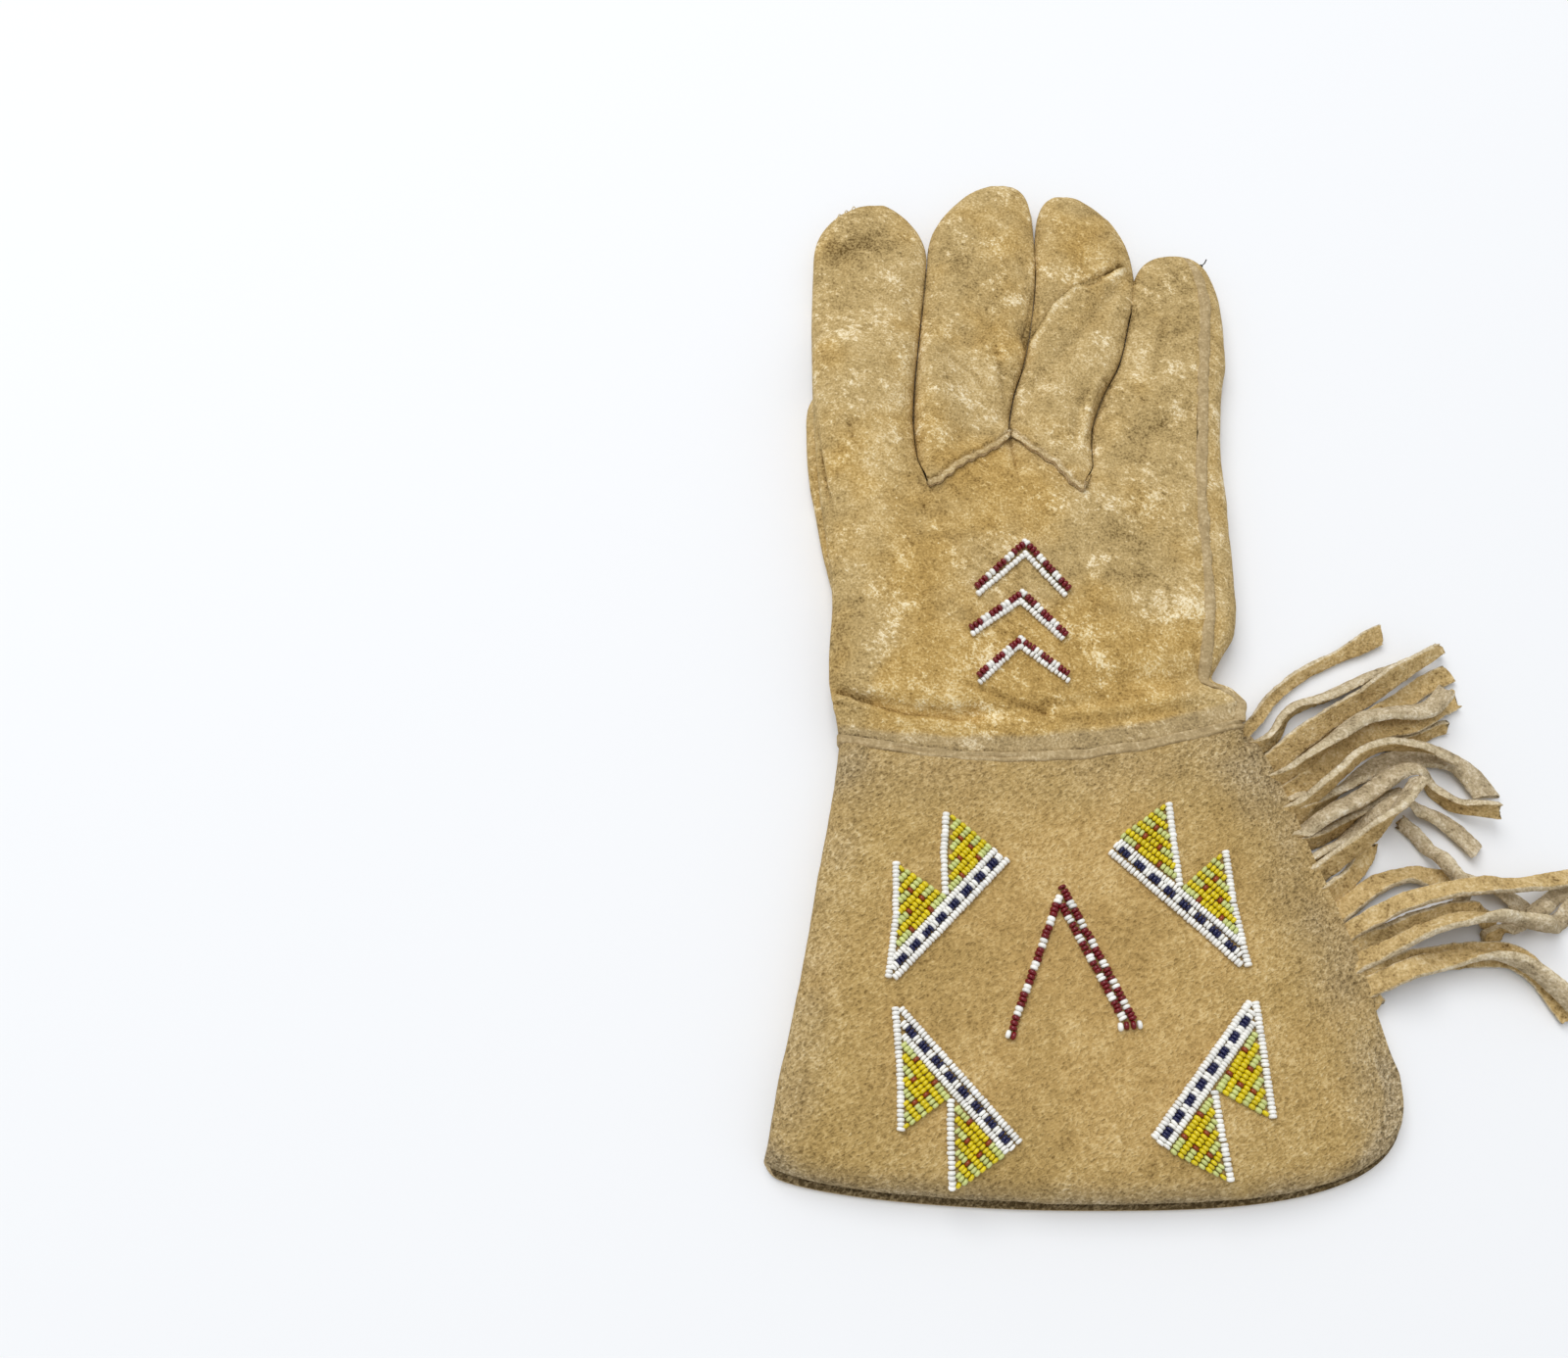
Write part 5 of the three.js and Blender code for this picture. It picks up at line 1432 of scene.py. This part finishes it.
def fringe():
    """The head strip in the seam and the strips cut from it, laid from the lowest to the topmost."""
    share = np.linspace(0.02, FRINGE_END, 60)
    x, y = seam_place(share)
    inset = FRINGE_HEAD_DEPTH / 2 + 2.5 * smooth((share - FRINGE_END) / 0.12 + 1)
    path = np.stack([x - inset, y, np.full_like(x, HEAD_HEIGHT)], 1)
    outline = strip_outline(FRINGE_HEAD_DEPTH, FRINGE_HEAD_THICKNESS, 0)
    points, faces = closed_rod(profile_along(path, *across_and_up(path), outline[None].repeat(len(path), 0)))
    parts, marks = [(points, faces)], [np.zeros((len(points), 3))]
    laid = []
    for number, strip in enumerate(STRIPS):
        points, faces, *values = fringe_strip(strip, number, laid)
        parts.append((points, faces))
        marks.append(np.stack(values, 1))
    back, rim, shade = np.concatenate(marks).T
    piece = joined("fringe_strips", parts, fringe_leather, {"back": back, "rim": rim, "shade": shade})
    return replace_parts(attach(piece, BODY), "fringe")


BODY = next(iter(frame["bodies"]))

back_piece = hand_back()
let_in_finger(1, "middle_finger_back")
let_in_finger(2, "ring_finger_back")
palm()
thumb()
side_welt()
wrist_welt()
cuff_piece = cuff()
fringe()


# ---- The beadwork ----

WHITE = srgb(244, 242, 236)
NAVY = srgb(20, 23, 68)
YELLOW = srgb(219, 197, 16)
LIME = srgb(202, 208, 130)
BRICK = srgb(140, 58, 6)
GARNET = srgb(112, 6, 20)
BEAD_COLOURS = {"w": WHITE, "n": NAVY, "y": YELLOW, "g": LIME, "r": BRICK, "d": GARNET}

BEAD_WIDTH = 2.2
LONGEST_BEAD = 1.45
BEAD_SIDES = 9
BEAD_PROFILE = [(-0.47, 0.42), (-0.36, 0.86), (0.0, 1.0), (0.36, 0.86), (0.47, 0.42)]


def ground(piece):
    """A tree of a piece's faces, to set beads down on."""
    mesh = piece.data
    co = np.zeros(len(mesh.vertices) * 3, np.float32)
    mesh.vertices.foreach_get("co", co)
    corners = np.zeros(len(mesh.loops), np.int32)
    mesh.loops.foreach_get("vertex_index", corners)
    return BVHTree.FromPolygons(co.reshape(-1, 3).tolist(), corners.reshape(-1, 4).tolist())


cuff_ground = ground(cuff_piece)
back_ground = ground(back_piece)
MISSED_HEIGHT = 9.0


def set_down(tree, places):
    """Heights and normals of the leather under places given in millimetres."""
    heights, normals = [], []
    for x, y in places:
        hit, normal, _, _ = tree.ray_cast(Vector((x / MM, y / MM, 0.1)), Vector((0, 0, -1)))
        heights.append(hit.z * MM if hit else MISSED_HEIGHT)
        normals.append(tuple(normal) if hit and normal.z > 0.2 else (0, 0, 1))
    return np.array(heights), np.array(normals)


def photo_place(tree, pixels, lift):
    """Places at a lift above the leather under pixels of the photograph, found in steps of the height."""
    height = BACK_HEIGHT
    for _ in range(4):
        height, _ = set_down(tree, from_photo(pixels, height)[:, :2])
        height = height + lift
    return from_photo(pixels, height)


def bead_string(tree, colours, pixels, wander=0.05, sink=0.42, size=1.0):
    """Beads in a row along a line through pixels of the photograph, each with all that shapes it."""
    ends = photo_place(tree, pixels, BEAD_WIDTH * sink)[:, :2]
    reach = lengths_along(ends)
    flat = resampled(ends, reach, np.linspace(0, reach[-1], len(colours)))
    along = np.gradient(flat, axis=0) if len(colours) > 1 else np.diff(ends[:2], axis=0)
    rng = np.random.default_rng(len(colours) * 7 + int(pixels[0][0]))
    flat = flat + rng.normal(0, wander, flat.shape)
    height, normal = set_down(tree, flat)
    centre = np.concatenate([flat, (height + sink * BEAD_WIDTH)[:, None]], 1)
    if len(centre) > 2:
        centre[:, 2] = np.convolve(np.pad(centre[:, 2], 1, "edge"), [0.25, 0.5, 0.25], "valid")
    pitch = reach[-1] / max(len(colours) - 1, 1) if len(colours) > 1 else 1.2
    return [(c, a, n, letter, pitch, size, rng.normal(0, 1, 4))
            for c, a, n, letter in zip(centre, along, normal, colours)]


def bead_piece(name, beads, size=BEAD_WIDTH):
    """All the beads of one motif as one mesh: each is a barrel of revolution about its string."""
    turn = circle(BEAD_SIDES)
    profile = np.array(BEAD_PROFILE)
    _, bead_faces = closed_rod(np.zeros((len(profile), BEAD_SIDES, 3)))
    count = len(profile) * BEAD_SIDES
    points, faces, colours = [], [], []
    for number, (centre, along, normal, letter, pitch, scale, chance) in enumerate(beads):
        axis = np.array([along[0], along[1], 0.0])
        axis = axis - normal * (axis @ normal)
        axis = axis / np.linalg.norm(axis)
        axis = axis + 0.05 * chance[3] * np.cross(normal, axis)
        axis = axis / np.linalg.norm(axis)
        side = np.cross(normal, axis)
        side = side / np.linalg.norm(side)
        up = np.cross(axis, side)
        radius = size * scale / 2 * (1 + 0.035 * chance[0])
        length = min(pitch, LONGEST_BEAD) * (1 + 0.05 * chance[1])
        ring = (profile[:, None, 0:1] * length * axis
                + profile[:, None, 1:2] * radius * (np.cos(turn)[None, :, None] * side
                                                    - np.sin(turn)[None, :, None] * up))
        points.append((centre + ring).reshape(-1, 3))
        faces += [[i + number * count for i in face] for face in bead_faces]
        shade = 1 + 0.06 * chance[2]
        colours.append(np.tile(np.clip(np.array(BEAD_COLOURS[letter]) * shade, 0, 1), (count, 1)))
    piece = add_mesh(name, np.concatenate(points), faces, glass, {"bead": np.concatenate(colours)})
    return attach(piece, BODY)


BAND_COLOURS = "ww" + "nnnww" * 8
TRIANGLE_ROWS = ["ggggryyyyyrgggg", "yyyyyyyyyyyyy", "gggryyyrggg", "yyyyyyyyy",
                 "gggrggg", "yyyyy", "ggg", "y"]

# The four corner motifs, by pixels of the photograph: the three rows of the band, the two upright strings,
# and for each triangle where its longest row begins and ends and where its point is
CORNER_MOTIFS = {
    "upper_left": {
        "band": [[(913.6, 997.2), (1027.4, 877.8)], [(911.8, 987.3), (1020.0, 874.0)],
            [(913.6, 977.3), (1015.0, 867.9)]],
        "uprights": [[(914.3, 881.5), (914.5, 935.0), (906.8, 996.0)],
            [(965.5, 831.2), (963.0, 870.0), (964.6, 910.8)]],
        "triangles": [[(917.2, 962.5), (962.1, 914.5), (920.2, 886.3)],
            [(970.2, 905.8), (1008.8, 864.1), (972.7, 834.3)]],
    },
    "upper_right": {
        "band": [[(1265.4, 983.9), (1133.9, 870.0)], [(1264.8, 973.6), (1138.8, 862.7)],
            [(1264.8, 961.5), (1143.0, 859.7)]],
        "uprights": [[(1250.6, 870.0), (1258.0, 920.0), (1273.3, 984.5)],
            [(1192.7, 821.5), (1197.6, 860.0), (1203.6, 902.7)]],
        "triangles": [[(1261.2, 950.0), (1209.1, 905.7), (1243.6, 874.2)],
            [(1198.2, 893.6), (1146.0, 853.0), (1186.0, 823.9)]],
    },
    "lower_left": {
        "band": [[(920.4, 1030.4), (1039.6, 1165.0)], [(921.8, 1044.5), (1032.9, 1171.0)],
            [(922.5, 1057.2), (1026.2, 1175.0)]],
        "uprights": [[(913.7, 1029.7), (918.9, 1095.0), (919.1, 1152.3)],
            [(970.0, 1123.5), (970.2, 1170.0), (971.3, 1212.5)]],
        "triangles": [[(922.5, 1066.6), (966.0, 1120.1), (925.1, 1149.6)],
            [(976.7, 1131.5), (1021.6, 1180.4), (978.3, 1210.5)]],
    },
    "lower_right": {
        "band": [[(1274.2, 1023.7), (1178.1, 1160.4)], [(1276.8, 1034.2), (1184.0, 1166.3)],
            [(1278.1, 1044.7), (1190.5, 1170.2)]],
        "uprights": [[(1281.4, 1023.7), (1290.0, 1080.0), (1299.0, 1139.5)],
            [(1239.5, 1115.3), (1247.0, 1160.0), (1255.2, 1203.5)]],
        "triangles": [[(1280.1, 1056.4), (1244.1, 1112.0), (1291.2, 1136.8)],
            [(1235.0, 1123.1), (1197.7, 1175.4), (1248.0, 1201.6)]],
    },
}


def corner_motif(name, lines):
    """One corner motif: the banded strip, its two uprights and the rows of its two triangles."""
    beads = []
    for row, pixels in enumerate(lines["band"]):
        colours = BAND_COLOURS if row == 1 else "w" * 42
        beads += bead_string(cuff_ground, colours, pixels, size=1.14 if row == 1 else 1.04)
    for count, pixels in zip((28, 19), lines["uprights"]):
        beads += bead_string(cuff_ground, "w" * count, pixels, size=1.1)
    for begin, end, point in lines["triangles"]:
        begin, end, point = map(np.array, (begin, end, point))
        for row, colours in enumerate(TRIANGLE_ROWS):
            share = row / (len(TRIANGLE_ROWS) - 1)
            first, last = mix(begin, point, share), mix(end, point, share)
            if len(colours) == 1:
                first, last = point + (end - begin) * -0.01, point + (end - begin) * 0.01
                beads += bead_string(cuff_ground, colours, [first, last])[:1]
                continue
            beads += bead_string(cuff_ground, colours, [first, last])
    return bead_piece("beads_" + name, beads)


for motif, lines in CORNER_MOTIFS.items():
    corner_motif(motif, lines)

# The chevrons: for the outer and the inner string the pixels of the left end, the point and the right end
CHEVRONS = [
    ([(997.5, 597.4), (1046.3, 553.0), (1089.9, 599.7)], [(998.6, 605.4), (1045.9, 564.7), (1086.4, 606.6)]),
    ([(991.7, 640.4), (1043.8, 604.5), (1087.6, 646.8)], [(992.9, 646.2), (1041.7, 612.9), (1084.1, 651.4)]),
    ([(999.2, 688.0), (1042.0, 652.0), (1089.3, 687.0)], [(1000.3, 696.0), (1040.5, 658.2), (1089.3, 693.8)]),
]
CHEVRON_BANDS = "wdddwwdddwwddd"
CHEVRON_NUDGE = (1.8, 1.8)


def chevrons():
    """Two strings each way from every chevron's point: the outer ones banded, the inner ones white."""
    beads = []
    for outer, inner in CHEVRONS:
        for line, leftward, rightward, sink, size in ((outer, CHEVRON_BANDS, CHEVRON_BANDS, 0.62, 1.14),
                                                      (inner, "w" * 15, "w" * 14, 0.38, 0.94)):
            left, point, right = line
            beside = tuple(np.add(point, CHEVRON_NUDGE))
            beads += bead_string(back_ground, leftward, [point, left], 0.06, sink, size)
            beads += bead_string(back_ground, rightward, [beside, right], 0.06, sink, size)
    return bead_piece("beads_chevrons", beads)


def tall_point():
    """The tall inverted V: one string on the left, two on the right and a short foot under each."""
    beads = bead_string(cuff_ground, "ww" + "dddww" * 5 + "ddd", [(1080.8, 915.6), (1033.4, 1049.0)], 0.08)
    beads += bead_string(cuff_ground, "dddd" + "wwddd" * 6, [(1084.2, 905.6), (1156.2, 1039.5)], 0.08)
    beads += bead_string(cuff_ground, "dddww" * 6, [(1084.2, 925.1), (1146.1, 1039.5)], 0.08)
    beads += bead_string(cuff_ground, "wd", [(1028.4, 1055.0), (1034.5, 1057.4)], 0.05)
    beads += bead_string(cuff_ground, "wddw", [(1143.3, 1048.0), (1150.6, 1047.0), (1162.9, 1045.7)], 0.08)
    return bead_piece("beads_tall_point", beads, 2.6)


chevrons()
tall_point()


# ---- Thread ends ----

# Small loops of the tip's stitches on the index finger, and a knot with its tail on the little finger
THREAD_LOOPS = [[(848, 232), (850, 226), (856, 225)], [(853, 226), (856, 219), (862, 221)],
                [(860, 222), (863, 215), (868, 217)], [(867, 217), (871, 211), (875, 214)]]
KNOT_PLACE = (1225, 272)
KNOT_TAIL = [(1225, 272), (1229, 269), (1231, 265)]
TIP_HEIGHT = 6.5


def thread_tube(points, radius):
    """A round thread through three-dimensional places, joined by an eased curve."""
    path = rounded(resampled(points, np.arange(len(points)), np.linspace(0, len(points) - 1, 14)), 3)
    forward = np.gradient(path, axis=0)
    side = unit(np.cross(forward, (0.0, 0.1, 1.0)))
    up = unit(np.cross(side, forward))
    turn = circle(6)
    outline = radius * np.stack([np.cos(turn), np.sin(turn)], 1)
    return closed_rod(profile_along(path, side, up, outline[None].repeat(len(path), 0)))


def thread_ends():
    """The loops on the index finger, and the knot with its tail on the little finger, which are darker."""
    parts = [thread_tube(from_photo(line, TIP_HEIGHT) + [[0, -0.8, 0], [0, 0, 0.6], [0, -0.8, 0]], 0.2)
             for line in THREAD_LOOPS]
    dark = [0] * len(parts)
    centre = from_photo(KNOT_PLACE, TIP_HEIGHT)[0]
    turn = np.linspace(0, 2 * np.pi, 9)
    for tilt in (0.2, 1.2, 2.3):
        level = np.stack([np.cos(turn), np.sin(turn) * math.cos(tilt), np.sin(turn) * math.sin(tilt)], 1)
        parts.append(thread_tube(centre + 0.6 * level, 0.3))
        dark.append(1)
    parts.append(thread_tube(from_photo(KNOT_TAIL, TIP_HEIGHT), 0.22))
    dark.append(1)
    marks = {"dark": np.concatenate([np.full(len(points), float(d)) for (points, _), d in zip(parts, dark)])}
    piece = joined("thread_ends", parts, thread, marks)
    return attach(piece, BODY)


thread_ends()


# ---- The floor and the light ----

FLOOR_SIZE = 3000.0
FLOOR_DEPTH = -0.1


def floor():
    """A plain pale sheet just under the glove."""
    corners = [(-1, -1), (1, -1), (1, 1), (-1, 1)]
    points = np.array([[FLOOR_SIZE * x, FLOOR_SIZE * y, FLOOR_DEPTH] for x, y in corners])
    f = Finish("floor")
    f.shade(Base_Color=srgb(240, 241, 243), Roughness=0.75, Specular_IOR_Level=0.2)
    sheet = add_mesh("floor", points, np.array([[0, 1, 2, 3]]), f.material)


def lamp(name, place, size, power, target=(0, 0.08, 0)):
    """A round lamp at a place, turned to face its target."""
    data = bpy.data.lights.new(name, "AREA")
    data.shape = "DISK"
    data.size = size
    data.energy = power
    made = bpy.data.objects.new(name, data)
    made.location = place
    made.rotation_euler = (Vector(target) - Vector(place)).to_track_quat("-Z", "Y").to_euler()
    bpy.context.scene.collection.objects.link(made)


floor()
lamp("window", (-0.9, 1.7, 2.7), 2.4, 50)
lamp("overhead", (-0.4, 0.2, 3.2), 1.6, 21)

world = bpy.data.worlds.new("room")
world.use_nodes = True
world.node_tree.nodes["Background"].inputs["Color"].default_value = (0.96, 0.98, 1.0, 1)
world.node_tree.nodes["Background"].inputs["Strength"].default_value = 0.56
bpy.context.scene.world = world
bpy.context.scene.view_settings.view_transform = "Standard"
